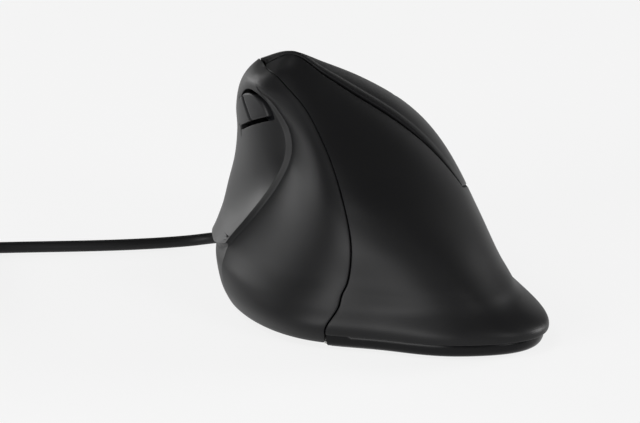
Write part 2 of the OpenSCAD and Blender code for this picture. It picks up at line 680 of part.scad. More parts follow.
module forward_button() { color("#26272a") side_button(false, forward_at, -28.2 * kx); }
module on_side(at) {
    translate([side_x, at.x, at.y]) rotate([0, -90, 0]) children();
}
module back_switch() { color("#303236") on_side(back_at) tact_body(); }
module forward_switch() { color("#303236") on_side(forward_at) tact_body(); }
module back_plunger() { color("#8d3b34") on_side(back_at) tact_cap(); }
module forward_plunger() { color("#8d3b34") on_side(forward_at) tact_cap(); }
side_posts = [[4 * ky, 43.5 * kz], [17 * ky, 40.5 * kz]];
side_root = [-24.9 * kx, -27.7 * kx];
module side_board() {
    color("#1f5a3a") difference() {
        block(side_x, side_x + board_t, side_board_y[0], side_board_y[1], side_board_z[0], side_board_z[1]);
        for (p = side_posts) across(side_x - 1, side_x + board_t + 1, p.x, p.y, screw_r + screw_room);
    }
}

// Cable outlet at the front
exit_p = thumb_skin(11, 2.7);
exit_turn = 37;
exit_dip = 12;
neck_r = 2.4;
relief_l = 9;
module along_exit() {
    translate(exit_p) rotate([-exit_dip, 0, exit_turn]) rotate([-90, 0, 0]) children();
}
module thumb_cover() {
    color("#1d1d1f") difference() {
        union() {
            thumb_panel();
            for (i = [0 : 1]) across(side_root[i], side_x, side_posts[i].x, side_posts[i].y, post_r);
        }
        along_x(-50, -21.5) polygon(pocket_line(0));
        along_exit() translate([0, 0, -8]) cylinder(r = neck_r + shaft_gap, h = 16, $fn = 48);
        for (p = side_posts) across(side_x - 4, side_x + 1, p.x, p.y, screw_r + shaft_gap);
    }
}
module strain_relief() {
    color("#19191a") along_exit() rotate_extrude($fn = 64) polygon(concat(
        [[0, -5.4], [neck_r + 0.7, -5.4], [neck_r + 0.7, -4], [neck_r, -4], [neck_r, 1.2],
         [neck_r + 0.9, 1.2], [neck_r + 0.9, 2.2]],
        [for (i = [0 : 4]) each let (z = 2.2 + relief_l * (i + 0.3) / 5, r = 2.9 - 0.2 * i)
            [[r, z], [r - 0.5, z + 0.1], [r - 0.5, z + relief_l * 0.08], [r - 0.15, z + relief_l * 0.09]]],
        [[cord_d / 2 + 0.35, 2.2 + relief_l], [0, 2.2 + relief_l]]));
}

// Cable: the free stretch on the table, the coil and the lead inside
cord_r = cord_d / 2;
cord_sides = 8;
lead_r = 1;
cord_route = [[-26.94, 53.02, 4.2], [-28.8, 55.5, 3.5], [-31.8, 58, 2.6], [-36.4, 59.4, 1.9],
    [-44, 59.9, 1.6], [-54, 60.2, 1.6], [-64, 61.2, 1.6],
    [-74, 62.6, 1.6], [-84, 64, 1.6], [-94, 65.2, 1.6], [-104, 65.8, 1.7],
    [-112, 66, 2], [-118, 66, 2.1], [-121, 66, 2.1]];
coil_at = [-124, 38];
coil_far = 28;
coil_z = 2.1;
coil_in = 5.75;
coil_out = 6;
coil_bump = 1.2;
coil_steps = 24;
plug_at = 19;
lead_route = [[-17.1, 40, 7.62], [-14.9, 37, 8.4], [-13.4, 33.8, 9.2], [-12.6, 30.8, 9.9],
    [-11.2, plug_y + 0.2, 10.3], [-9.6, plug_y, 10.3], [plug_socket[0], plug_y, 10.3]];
coil_inner = coil_far - coil_pitch * coil_in;
coil_half = coil_in + 0.5;
coil_turns = coil_half + coil_out;
function coil_r(n) = n < coil_in ? coil_far - coil_pitch * n
    : n < coil_half ? coil_inner - coil_bump * sin(360 * (n - coil_in))
    : coil_inner + coil_pitch * (n - coil_half);
function coil_rise(n) = n < coil_in ? 0 : n > coil_half ? 1 : (1 - cos(360 * (n - coil_in))) / 2;
function coil_point(n) = let (a = 90 + 360 * n, r = coil_r(n))
    [coil_at.x + r * cos(a), coil_at.y + r * sin(a), coil_z + coil_pitch * coil_rise(n)];
coil_end = coil_point(coil_turns);
plug_z = grip_t / 2;
coil_loops = [for (i = [0 : coil_turns * coil_steps]) coil_point(i / coil_steps)];
coil_route = concat([[coil_at.x + cord_d, coil_at.y + coil_far, coil_z]], coil_loops,
    [[coil_end.x, 34, coil_end.z - 0.1], [coil_end.x, 29, 5], [coil_end.x, 25, 4.1], [coil_end.x, 22, plug_z],
     [coil_end.x, plug_at, plug_z]]);
function way(route, i) = unit(route[min(i + 1, len(route) - 1)] - route[max(i - 1, 0)]);
function ring(p, d, r, n) = let (s = unit(cross([0, 0, 1], d)), u = cross(d, s))
    [for (k = [0 : n - 1]) p + r * (s * cos(360 * k / n) + u * sin(360 * k / n))];
module tube(route, r, n) {
    m = len(route);
    pts = [for (i = [0 : m - 1]) each ring(route[i], way(route, i), r, n)];
    faces = concat([[for (k = [0 : n - 1]) k]], [[for (k = [n - 1 : -1 : 0]) (m - 1) * n + k]],
        [for (i = [0 : m - 2]) for (k = [0 : n - 1]) let (a = i * n + k, b = i * n + (k + 1) % n)
            each [[a, a + n, b + n], [a, b + n, b]]]);
    polyhedron(points = pts, faces = faces, convexity = 10);
}
// least gap between turns, measured between points more than half a turn apart
gap_list = [for (i = [0 : 2 : len(coil_loops) - 1]) for (j = [i + coil_steps / 2 : len(coil_loops) - 1])
    norm(coil_loops[i] - coil_loops[j])];
echo(coil_gap = min(gap_list) - cord_d);
module cord() { color("#141415") tube(cord_route, cord_r, cord_sides); }
module cord_coil() { color("#141415") tube(coil_route, cord_r, 6); }
module inner_lead() { color("#141415") tube(lead_route, lead_r, 6); }
tie_t = 0.5;
tie_w = 5;
tie_gap = 0.05;
tie_turn = 300;
tie_from = (tie_turn - 90) / 360;
tie_in = 5;
tie_out = 11;
tie_curve = 0.6;
module coil_tie() {
    inner = coil_r(tie_from + tie_in) - cord_r - tie_curve;
    outer = coil_r(tie_from + tie_out) + cord_r + tie_gap;
    high = coil_z + coil_pitch + cord_r + tie_gap;
    low = coil_z - cord_r - tie_gap;
    color("#2b2b2d") translate([coil_at.x, coil_at.y, 0]) rotate([0, 0, tie_turn]) difference() {
        block(inner - tie_t, outer + tie_t, -tie_w / 2, tie_w / 2, low - tie_t, high + tie_t);
        block(inner, outer, -tie_w, tie_w, low, high);
    }
}

// Plug, lying beside the coil with its mouth to the rear
boot_l = 8;
grip_l = 21;
shell_w = 12;
shell_h = 4.5;
shell_l = 12;
sheet = 0.35;
module on_plug() {
    translate([coil_end.x, plug_at, plug_z]) rotate([90, 0, 0]) children();
}
module round_bar(w, t, r, l) {
    linear_extrude(l) {
        square([w - 2 * r, t], center = true);
        square([w, t - 2 * r], center = true);
        for (x = [-1, 1]) for (y = [-1, 1])
            translate([x * (w / 2 - r), y * (t / 2 - r)]) circle(r = r, $fn = 32);
    }
}
module plug_grip() {
    color("#161617") on_plug() {
        rotate_extrude($fn = 48) polygon(concat([[0, 0]],
            [for (i = [0 : 3]) each let (z = boot_l * i / 4, r = cord_r + 0.5 + 0.35 * i)
                [[r, z], [r + 0.3, z + 1.2], [r - 0.2, z + 1.3], [r - 0.2, z + 1.9]]],
            [[cord_r + 1.9, boot_l + eps], [0, boot_l + eps]]));
        difference() {
            translate([0, 0, boot_l]) round_bar(grip_w, grip_t, 2.4, grip_l);
            for (s = [-1, 1]) for (i = [0 : 3]) translate([s * (grip_w / 2 + 0.5), 0, boot_l + 6 + 2.6 * i])
                rotate([90, 0, 0]) translate([0, 0, -grip_t]) cylinder(r = 0.9, h = 2 * grip_t, $fn = 24);
        }
    }
}
module plug_shell() {
    color("#c7c8ca") on_plug() translate([0, 0, boot_l + grip_l]) difference() {
        round_bar(shell_w, shell_h, 0.6, shell_l);
        translate([0, 0, -1]) round_bar(shell_w - 2 * sheet, shell_h - 2 * sheet, 0.3, shell_l + 2);
        for (s = [-1, 1]) block(s * 2.8 - 1.1, s * 2.8 + 1.1, -shell_h, shell_h, 4.6, 7);
    }
}
tongue_t = 1.9;
tongue_half = shell_w / 2 - sheet - 0.35;
tongue_low = -shell_h / 2 + sheet;
module plug_tongue() {
    color("#e9e8e2") on_plug() translate([0, 0, boot_l + grip_l])
        block(-tongue_half, tongue_half, tongue_low, tongue_low + tongue_t, 0, shell_l - 0.8);
}
contact_x = [-3.5, -1, 1, 3.5];
module plug_contacts() {
    color("#c9a04a") on_plug() translate([0, 0, boot_l + grip_l]) for (x = contact_x)
        block(x - 0.5, x + 0.5, tongue_low + tongue_t, tongue_low + tongue_t + 0.2, 1, shell_l - 1.6);
}

palm_shell();
thumb_cover();
base_tray();
key_plate();
left_button();
right_button();
button_bridge();
wheel_tyre();
wheel_hub();
wheel_axle();
wheel_cradle();
cradle_pin();
encoder();
left_switch();
right_switch();
left_plunger();
right_plunger();
middle_switch();
middle_plunger();
key_board();
board_frame();
main_board();
sensor_chip();
sensor_lens();
ribbon_socket();
ribbon_cable();
cable_socket();
case_screws();
board_screws();
feet();
back_button();
forward_button();
back_switch();
forward_switch();
back_plunger();
forward_plunger();
side_board();
strain_relief();
inner_lead();
cord();
cord_coil();
coil_tie();
plug_grip();
plug_shell();
plug_tongue();
plug_contacts();
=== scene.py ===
import bpy
import json
import math
import numpy as np
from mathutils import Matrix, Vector
from mathutils.bvhtree import BVHTree


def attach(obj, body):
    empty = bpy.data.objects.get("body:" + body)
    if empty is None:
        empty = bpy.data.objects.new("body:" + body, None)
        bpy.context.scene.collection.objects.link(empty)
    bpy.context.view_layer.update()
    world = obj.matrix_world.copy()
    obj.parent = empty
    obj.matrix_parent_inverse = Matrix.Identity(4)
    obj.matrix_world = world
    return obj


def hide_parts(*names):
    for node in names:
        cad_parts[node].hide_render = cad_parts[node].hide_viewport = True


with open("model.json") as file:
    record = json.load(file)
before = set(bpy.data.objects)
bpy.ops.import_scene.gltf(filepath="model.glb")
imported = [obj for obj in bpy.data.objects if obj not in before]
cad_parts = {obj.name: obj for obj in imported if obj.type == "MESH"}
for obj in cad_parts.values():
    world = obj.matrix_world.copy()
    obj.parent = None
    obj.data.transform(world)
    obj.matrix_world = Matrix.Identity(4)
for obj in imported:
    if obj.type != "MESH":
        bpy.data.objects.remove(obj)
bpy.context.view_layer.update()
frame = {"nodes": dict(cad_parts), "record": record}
mm = 0.001
print("frame loaded:", len(frame["nodes"]), "nodes")


def vec(p):
    return Vector((float(p[0]), float(p[1]), float(p[2])))


def deselectAll():
    if bpy.context.object and bpy.context.object.mode != "OBJECT":
        bpy.ops.object.mode_set(mode="OBJECT")
    bpy.ops.object.select_all(action="DESELECT")


def makeActive(obj):
    deselectAll()
    obj.select_set(True)
    bpy.context.view_layer.objects.active = obj


def applyModifier(obj, kind, **settings):
    makeActive(obj)
    mod = obj.modifiers.new(kind.lower(), kind)
    for key, value in settings.items():
        setattr(mod, key, value)
    bpy.ops.object.modifier_apply(modifier=mod.name)


smoothSetup = {"shell": 42, "button": 50, "band": 50, "tray": 30}  # edges flatter than this look smooth, in degrees


def smoothTo(obj, angle):
    makeActive(obj)
    bpy.ops.object.shade_smooth_by_angle(angle=math.radians(angle))


def pickFaces(obj, wanted):  # leaves the object in edit mode
    makeActive(obj)
    bpy.ops.object.mode_set(mode="EDIT")
    bpy.ops.mesh.select_mode(type="FACE")
    bpy.ops.mesh.select_all(action="DESELECT")
    bpy.ops.object.mode_set(mode="OBJECT")
    for p in obj.data.polygons:
        p.select = wanted(p)
    bpy.ops.object.mode_set(mode="EDIT")


drawn = []  # the pieces made here, with their slots


def standsFor(obj, body, slot, *nodes):
    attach(obj, body)
    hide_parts(*nodes)
    drawn.append((obj, slot))


# camera at the photograph's angle
cameraSetup = {
    "azimuth": -12, "elevation": 15.5, "distance": 0.9, "target": (0.00256, 0.00302, 0.028),
    "lens": 200.25, "shift": (-0.0871, -0.0279), "sensor": 36, "clipEnd": 40,
}


def addCamera(s):
    a, e = math.radians(s["azimuth"]), math.radians(s["elevation"])
    back = Vector((math.sin(a) * math.cos(e), -math.cos(a) * math.cos(e), math.sin(e)))
    bpy.ops.object.camera_add(location=Vector(s["target"]) + back * s["distance"])
    cam = bpy.context.object
    cam.rotation_euler = (-back).to_track_quat("-Z", "Y").to_euler()
    cam.data.sensor_width = s["sensor"]
    cam.data.lens = s["lens"]
    cam.data.shift_x, cam.data.shift_y = s["shift"]
    cam.data.clip_end = s["clipEnd"]
    bpy.context.scene.camera = cam


deselectAll()
addCamera(cameraSetup)
print("camera set")


# cable: out of the strain relief, along the table and into a flat two-layer coil beside the mouse, in millimetres
cableSetup = {
    "route": [(-26.94, 53.02, 4.2), (-28.8, 55.5, 3.5), (-31.8, 58, 2.6), (-36.4, 59.4, 1.9), (-44, 59.9, 1.6),
              (-54, 60.2, 1.6), (-64, 61.2, 1.6), (-74, 62.6, 1.6), (-84, 64, 1.6), (-94, 65.2, 1.6),
              (-104, 65.8, 1.7), (-112, 66, 2), (-118, 66, 2.1), (-121, 66, 2.1)],
    "coilAt": (-124, 38), "coilFar": 28, "coilPitch": 3.5, "coilLow": 2.1, "turnsIn": 5.75, "turnsOut": 6,
    "bump": 1.2, "stepsPerTurn": 40, "tailY": [(34, 5.5), (29, 5), (25, 4.1), (22, 3.8), (19, 3.8)],
    "diameter": 3, "lineSteps": 4, "roundSteps": 5,
}


def smoothLine(points, steps):
    pts = [np.array(p, float) for p in points]
    pts = [2 * pts[0] - pts[1]] + pts + [2 * pts[-1] - pts[-2]]
    out = []
    for i in range(1, len(pts) - 2):
        a, b, c, d = pts[i - 1:i + 3]
        for k in range(steps):
            t = k / steps
            out.append(0.5 * (2 * b + (c - a) * t + (2 * a - 5 * b + 4 * c - d) * t * t
                              + (3 * b - a - 3 * c + d) * t ** 3))
    return out + [pts[-2]]


def coilPoint(s, n):
    half = s["turnsIn"] + 0.5
    inner = s["coilFar"] - s["coilPitch"] * s["turnsIn"]
    if n < s["turnsIn"]:
        r, rise = s["coilFar"] - s["coilPitch"] * n, 0
    elif n < half:
        r = inner - s["bump"] * math.sin(2 * math.pi * (n - s["turnsIn"]))
        rise = (1 - math.cos(2 * math.pi * (n - s["turnsIn"]))) / 2
    else:
        r, rise = inner + s["coilPitch"] * (n - half), 1
    a = math.pi / 2 + 2 * math.pi * n
    return (s["coilAt"][0] + r * math.cos(a), s["coilAt"][1] + r * math.sin(a), s["coilLow"] + s["coilPitch"] * rise)


def addCable(s):
    turns = s["turnsIn"] + 0.5 + s["turnsOut"]
    count = int(turns * s["stepsPerTurn"])
    coil = [coilPoint(s, i / s["stepsPerTurn"]) for i in range(count + 1)]
    end = coil[-1]
    tail = smoothLine([end] + [(end[0], y, z) for y, z in s["tailY"]], s["lineSteps"])
    line = smoothLine(s["route"], s["lineSteps"]) + [np.array(p) for p in coil] + tail[1:]
    data = bpy.data.curves.new("cable", "CURVE")
    data.dimensions = "3D"
    data.bevel_depth = 1  # each point's radius gives the size
    data.bevel_resolution = s["roundSteps"]
    data.use_fill_caps = True
    spline = data.splines.new("POLY")
    spline.points.add(len(line) - 1)
    for p, q in zip(spline.points, line):
        p.co = (q[0] * mm, q[1] * mm, q[2] * mm, 1)
        p.radius = s["diameter"] / 2 * mm
    spline.use_smooth = True
    obj = bpy.data.objects.new("cable", data)
    bpy.context.scene.collection.objects.link(obj)
    length = sum(float(np.linalg.norm(b - a)) for a, b in zip(line, line[1:])) * mm
    standsFor(obj, "case", "cable", "cord", "cord_coil")
    print("cable", round(length, 3), "m")


addCable(cableSetup)


# body: closed loops from the peak by the thumb down to the table, in millimetres
bodySetup = {
    # height left, right; left, right, rear, front; middle x, y; roundness left, right; lean; rear seam; flat rear
    "loops": [
        (60.8, 60.8, -26.8, -26.4, 7, 11, -26.6, 9, 2.0, 2.0, 0, 236, 0),
        (58.6, 64.2, -29.6, -19.5, 0, 18, -24.8, 10, 2.0, 2.0, 0, 253.5, 0),
        (56.2, 61.6, -31.2, -12.0, -5, 26, -22.0, 13, 2.0, 2.0, 0, 258.75, 0),
        (52.2, 56.5, -32.2, -4.0, -11, 34, -19.0, 17, 2.1, 2.1, 0, 265, 0),
        (46.5, 49.5, -32.3, 7.0, -19, 41, -15.0, 19, 2.2, 2.2, 0, 262, 0),
        (40.5, 42.5, -32.0, 15.5, -28, 45.5, -10.5, 18, 2.2, 2.2, 0, 255.75, 0.3),
        (33.5, 34.5, -32.8, 21.5, -37.5, 48, -6.0, 14, 2.2, 2.2, 0, 250.75, 1),
        (26.0, 26.0, -35.2, 24.6, -44.5, 49.5, -1.0, 8, 2.2, 2.3, 0.02, 245.5, 2.4),
        (18.0, 18.0, -38.4, 26.6, -49.5, 50, 4.0, 0, 2.1, 2.4, 0.05, 240, 4.2),
        (14.3, 14.3, -39.45, 27.76, -51.4, 50.05, 6.1, -4.1, 2.1, 2.58, 0.066, 236.5, 5.2),
        (11.0, 11.0, -40.0, 29.2, -53.0, 50, 8.0, -8, 2.1, 2.8, 0.08, 234, 6),
        (6.5, 6.5, -39.2, 33.4, -56.0, 49.5, 11.0, -14, 2.0, 3.3, 0.10, 227, 6.8),
        (3.0, 3.0, -37.6, 33.2, -55.5, 48.5, 11.0, -14, 2.0, 3.3, 0.10, 225.5, 7),
        (0.8, 0.8, -35.6, 31.0, -53.5, 46.5, 11.0, -14, 2.0, 3.2, 0.10, 224, 7)],
    # crease x, y, heading in, heading out, swell x, y, heading, rim lip
    "thumb": [
        (-26.8, 8.5, 0, 0, -26.8, 9.5, 0, 0), (-29.4, 6.0, 8, 8, -29.6, 10.0, -5, 0),
        (-30.0, 2.0, 12, 14, -31.1, 12.0, -4, 0.2), (-27.4, -1.5, 14, 30, -31.9, 15.0, -2, 0.9),
        (-24.6, -5.5, 14, 44, -32.0, 18.0, 0, 1.3), (-24.6, -7.0, 18, 42, -31.6, 20.0, -2, 1.3),
        (-28.2, -7.0, 26, 20, -32.4, 20.0, -2, 1.4), (-33.6, -5.5, 32, -4, -34.6, 19.0, -2, 1.4),
        (-38.8, -1.5, 26, -8, -37.4, 17.0, -8, 1.2), (-40.0, -1.3, 17, -3, -37.9, 17.0, -10, 0.8),
        (-40.3, -1.5, 9, 2, -38.2, 17.0, -12, 0.4), (-39.5, -3.0, 6, 4, -37.0, 17.0, -12, 0.1),
        (-37.9, -4.0, 6, 4, -35.4, 17.0, -12, 0), (-36.2, -4.0, 6, 4, -33.4, 17.0, -12, 0)],
    "middle": (-2.56, -3.02), "core": (0, 0, 22), "frontSeam": 110, "rimRun": 0.4, "lipSlant": 6,
    "thumbLow": 12.6, "palmLow": 11.6, "flatAt": -12, "flatRun": (19, 15), "seamGap": 0.3, "seamShare": 0.6,
    # wall and rounded rims; no rounding near the apex
    "wall": 1.7, "edge": 0.28, "edgeSteps": 3, "rimAngle": 50, "apex": (-24, 12, 60.8), "apexRoom": 14,
    "apexClear": 0.4,
    # the scoop ends below in a ledge for the thumb: row of its edge, how far it stands out, rows above and below
    "ledge": {"row": 8.0, "drop": 0.55, "turn": 0.25, "out": 1.5, "above": 1.1, "below": 0.6, "step": 0.45,
              "fall": 0.12, "start": 0.5, "end": 0.9, "aboveBend": 1.2, "belowBend": 1.3},
    # mesh of the thumb cover: rows above and below the ledge and beside it, columns before, in and after the scoop
    "rowsAbove": 66, "rowsBelow": 34, "beside": (-0.06, -0.03, -0.012, 0, 0.012, 0.03, 0.06),
    "columns": (26, 30, 20), "crease": (0.985, 0.9999, 1.0, 1.012), "creaseRounds": 2,
}
loopRows = np.array(bodySetup["loops"], float)
thumbRows = np.array(bodySetup["thumb"], float)


def along(rows, u):
    i = max(0, min(len(rows) - 2, math.floor(u)))
    a = rows[i - 1] if i > 0 else 2 * rows[0] - rows[1]
    b, c = rows[i], rows[i + 1]
    d = rows[i + 2] if i + 2 < len(rows) else 2 * rows[-1] - rows[-2]
    t = u - i
    return 0.5 * (2 * b + (c - a) * t + (2 * a - 5 * b + 4 * c - d) * t * t + (3 * b - a - 3 * c + d) * t ** 3)


def oval(r, turn):
    c, s = math.cos(math.radians(turn)), math.sin(math.radians(turn))
    n = r[8] + (r[9] - r[8]) * (1 + c) / 2
    g = (abs(c) ** n + abs(s) ** n) ** (-1 / n)
    dy = ((r[5] - r[7]) if s > 0 else (r[7] - r[4])) * g * s
    x = r[6] + ((r[3] - r[6]) if c > 0 else (r[6] - r[2])) * g * c - r[10] * dy
    return np.array((x, r[7] + dy + flattening(r, x) * rearShare(s)))


def rearShare(s):  # 0 at the sides, 1 from 30 degrees behind them
    return max(0, min(1, -2 * s))


def flattening(r, x):  # how far the rear is drawn forwards left of the middle
    off = x - bodySetup["flatAt"]
    return r[12] * math.exp(-(off / bodySetup["flatRun"][0 if off < 0 else 1]) ** 2)


def lifted(r, p):
    z = r[0] if r[3] - r[2] < 0.01 else r[0] + (r[1] - r[0]) * (p[0] - r[2]) / (r[3] - r[2])
    mx, my = bodySetup["middle"]
    return np.array((p[0] - mx, p[1] - my, z))


def skin(v, turn):
    r = along(loopRows, v)
    return lifted(r, oval(r, turn))


def heading(h):
    return np.array((-math.sin(math.radians(h)), math.cos(math.radians(h))))


def unit(p):
    return p / max(float(np.linalg.norm(p)), 0.0001)


def bow(a, ta, b, tb, t):
    d = np.linalg.norm(b - a) / 3
    p, q, s = a + ta * d, b - tb * d, 1 - t
    return a * s ** 3 + p * 3 * s * s * t + q * 3 * s * t * t + b * t ** 3


def smoothRise(t):
    t = max(0, min(1, t))
    return t * t * (3 - 2 * t)


def ledgeRow(q):
    s = bodySetup["ledge"]
    return s["row"] + s["drop"] * (1 - math.exp(-max(0, q - 1) / s["turn"]))


def ledgeOut(v, q):
    s = bodySetup["ledge"]
    reach = s["out"] * smoothRise((q - 1) / s["start"]) * (1 - smoothRise((q - 2) / s["end"]))
    off = v - ledgeRow(q)
    if off <= 0:
        return reach * max(0, 1 + off / s["above"]) ** s["aboveBend"]
    return max(0, reach - s["step"] * min(1, reach)) * max(0, 1 - off / s["below"]) ** s["belowBend"]


def thumbSkin(v, q):  # 0 at the rear seam, 1 at the crease, 2 at the swell, 3 at the front seam
    r, h = along(loopRows, v), along(thumbRows, v)
    front = bodySetup["frontSeam"]
    lip = np.array((h[7], -h[7] / bodySetup["lipSlant"]))
    c, m = h[0:2] + lip * smoothRise((v - ledgeRow(q)) / bodySetup["ledge"]["fall"]), h[4:6]
    if q < 1:
        a = oval(r, r[11])
        foot = h[0:2] - heading(h[2]) * bodySetup["rimRun"] + lip
        p = bow(a, unit(oval(r, r[11] - 1) - a), foot, heading(h[2]), q)
    elif q < 2:
        p = bow(c, heading(h[3]), m, heading(h[6]), q - 1)
    else:
        f = oval(r, front)
        p = bow(m, heading(h[6]), f, unit(f - oval(r, front + 1)), q - 2)
    if q >= 1:
        p = p - np.array((ledgeOut(v, q), 0))
    return lifted(r, p)


def cutCorners(row, first, last, times):  # rounds a stretch of a row of points
    part = row[first:last + 1]
    for _ in range(times):
        out = [part[0]]
        for a, b in zip(part, part[1:]):
            out += [a * 0.75 + b * 0.25, a * 0.25 + b * 0.75]
        part = out + [part[-1]]
    return row[:first] + part + row[last + 1:]


def skinObject(name, verts, faces):
    mesh = bpy.data.meshes.new(name)
    mesh.from_pydata([tuple(float(c) * mm for c in p) for p in verts], [], faces)
    core = vec(bodySetup["core"]) * mm
    if sum(p.normal.dot(p.center - core) * p.area for p in mesh.polygons) < 0:
        mesh.flip_normals()
    obj = bpy.data.objects.new(name, mesh)
    bpy.context.scene.collection.objects.link(obj)
    return obj


def gridObject(name, rows):
    n, m = len(rows), len(rows[0])
    faces = [(i * m + j, i * m + j + 1, (i + 1) * m + j + 1, (i + 1) * m + j)
             for i in range(n - 1) for j in range(m - 1)]
    return skinObject(name, [p for row in rows for p in row], faces)


def insideRing(ring, p):
    nxt = np.roll(ring, -1, axis=0)
    cross = (ring[:, 1] > p[1]) != (nxt[:, 1] > p[1])
    run = np.where(cross, nxt[:, 1] - ring[:, 1], 1)
    at = ring[:, 0] + (p[1] - ring[:, 1]) / run * (nxt[:, 0] - ring[:, 0])
    return int(np.sum(cross & (p[0] < at))) % 2 == 1


def treeOf(obj):
    mesh = obj.data
    return BVHTree.FromPolygons([v.co for v in mesh.vertices], [p.vertices[:] for p in mesh.polygons])


def openHole(obj, outline, toPlane, aim):
    # opens the skin inside a closed outline seen along one direction, and draws the edge onto that outline
    mesh, tree = obj.data, treeOf(obj)
    ring = np.array(outline)
    span = np.roll(ring, -1, axis=0) - ring

    def cutOut(p):
        flat = toPlane(p.center)
        return flat is not None and insideRing(ring, flat)

    gone = [p for p in mesh.polygons if cutOut(p)]
    lost = {p.index for p in gone}
    rim = {v for p in gone for v in p.vertices} & {v for p in mesh.polygons if p.index not in lost for v in p.vertices}
    for i in rim:
        p = toPlane(mesh.vertices[i].co)
        t = np.clip(np.sum((p - ring) * span, axis=1) / np.sum(span * span, axis=1), 0, 1)
        foot = ring + span * t[:, None]
        start, way = aim(foot[np.argmin(np.sum((foot - p) ** 2, axis=1))])
        hit = tree.ray_cast(start, way)[0]
        if hit is not None:
            mesh.vertices[i].co = hit
    pickFaces(obj, lambda p: p.index in lost)
    bpy.ops.mesh.delete(type="FACE")
    bpy.ops.object.mode_set(mode="OBJECT")
    print("opened", obj.name, len(gone), "faces,", len(rim), "rim points")


def markRims(obj, s):  # the sharp edges to be rounded, but not where all panels run together at the peak
    faces = {}
    for p in obj.data.polygons:
        for key in p.edge_keys:
            faces.setdefault(key, []).append(p.normal)
    apex, room = vec(s["apex"]) * mm, s["apexRoom"] * mm
    weight = obj.data.attributes.new("bevel_weight_edge", "FLOAT", "EDGE")
    for e in obj.data.edges:
        sides = faces[tuple(sorted(e.vertices))]
        sharp = len(sides) == 2 and sides[0].angle(sides[1], 0) > math.radians(s["rimAngle"])
        far = (obj.data.vertices[e.vertices[0]].co - apex).length / room
        weight.data[e.index].value = min(1, max(0, far - s["apexClear"])) if sharp else 0


def finishShell(obj, s):
    makeActive(obj)
    bpy.ops.object.shade_smooth()
    applyModifier(obj, "SOLIDIFY", thickness=s["wall"] * mm, offset=-1, use_even_offset=False, use_rim=True)
    markRims(obj, s)
    applyModifier(obj, "BEVEL", width=s["edge"] * mm, segments=s["edgeSteps"], limit_method="WEIGHT",
                  use_clamp_overlap=False)
    smoothTo(obj, smoothSetup["shell"])


def addPeg(obj, foot, head, radius, bore=0, deep=0):
    # round peg inside a shell, with a screw hole in its head where it has one
    deselectAll()
    way = vec(head) - vec(foot)
    bpy.ops.mesh.primitive_cylinder_add(vertices=32, radius=radius * mm, depth=way.length * mm)
    peg = bpy.context.object
    if bore:
        pickFaces(peg, lambda p: p.normal.z > 0.9)  # its top
        bpy.ops.mesh.inset(thickness=(radius - bore) * mm)
        bpy.ops.mesh.extrude_region_move(TRANSFORM_OT_translate={"value": (0, 0, -deep * mm)})
        bpy.ops.object.mode_set(mode="OBJECT")
    peg.rotation_euler = way.to_track_quat("Z", "Y").to_euler()
    peg.location = (vec(foot) + vec(head)) / 2 * mm
    makeActive(obj)
    peg.select_set(True)
    bpy.ops.object.join()
    smoothTo(obj, smoothSetup["shell"])


# side button pocket: a D seen along X, split into a rear and a front button
pocketSetup = {
    "origin": (0.4, 49.3), "turn": -21, "middle": 9.2, "half": 9.6, "rise": 9.2, "gap": 1.0, "split": 7.6,
    "lean": 0.38, "proud": 0.7, "depth": 2.4, "taper": 0.5, "bend": 0.8, "arcSteps": 64, "baseSteps": 40,
    "points": 84, "rounds": [(0, -0.55), (0.12, -0.26), (0.3, -0.09), (0.55, 0)],
    "rings": (0.86, 0.68, 0.48, 0.28, 0.1), "leftOf": -12, "castFrom": -80,
}


def pocketPoint(s, u, v):
    t = math.radians(s["turn"])
    return (s["origin"][0] + u * math.cos(t) - v * math.sin(t), s["origin"][1] + u * math.sin(t) + v * math.cos(t))


def pocketLine(s, inset):
    line = []
    for i in range(s["arcSteps"] + 1):
        a = math.pi * i / s["arcSteps"]
        line.append((s["middle"] + (s["half"] - inset) * math.cos(a),
                     inset + (s["rise"] - 2 * inset) * max(0, math.sin(a)) ** s["bend"]))
    return line


def sidePlane(co):
    return np.array((co[1] / mm, co[2] / mm)) if co[0] < pocketSetup["leftOf"] * mm else None


def fromLeft(p):
    return Vector((pocketSetup["castFrom"] * mm, p[0] * mm, p[1] * mm)), Vector((1, 0, 0))


def coverRows(s):  # rows that run along the ledge's edge, closer together beside it
    def row(share, off):
        if share <= 1:
            return lambda q: (ledgeRow(q) + off) * share
        return lambda q: ledgeRow(q) + off + (s["thumbLow"] - ledgeRow(q) - off) * (share - 1)

    above, below, beside = s["rowsAbove"], s["rowsBelow"], s["beside"]
    rows = [row(k / above, beside[0]) for k in range(above + 1)] + [row(1, off) for off in beside[1:]]
    return rows + [row(1 + k / below, beside[-1]) for k in range(1, below + 1)]


def addThumbCover(s):
    rear, scoop, front = s["columns"]
    cols = [i / rear for i in range(rear)] + list(s["crease"])
    last = len(cols) - 1
    cols += [1 + i / scoop for i in range(1, scoop + 1)] + [2 + i / front for i in range(1, front + 1)]
    rows = [cutCorners([thumbSkin(v(q), q) for q in cols], rear, last, s["creaseRounds"]) for v in coverRows(s)]
    return gridObject("thumbCover", rows)


def halfOutline(s, rear):
    side = -1 if rear else 1
    edge = s["split"] + side * s["gap"] / 4
    line = pocketLine(s, s["gap"])
    start, run = line[-1][0], line[0][0] - line[-1][0]
    line += [(start + run * k / s["baseSteps"], s["gap"]) for k in range(1, s["baseSteps"])]
    out = []
    for a, b in zip(line, line[1:] + line[:1]):
        da, db = [side * (p[0] - edge - s["lean"] * p[1]) for p in (a, b)]
        if da >= 0:
            out.append(a)
        if da * db < 0:
            t = da / (da - db)
            out.append((a[0] + (b[0] - a[0]) * t, a[1] + (b[1] - a[1]) * t))
    return np.array([pocketPoint(s, *p) for p in out])


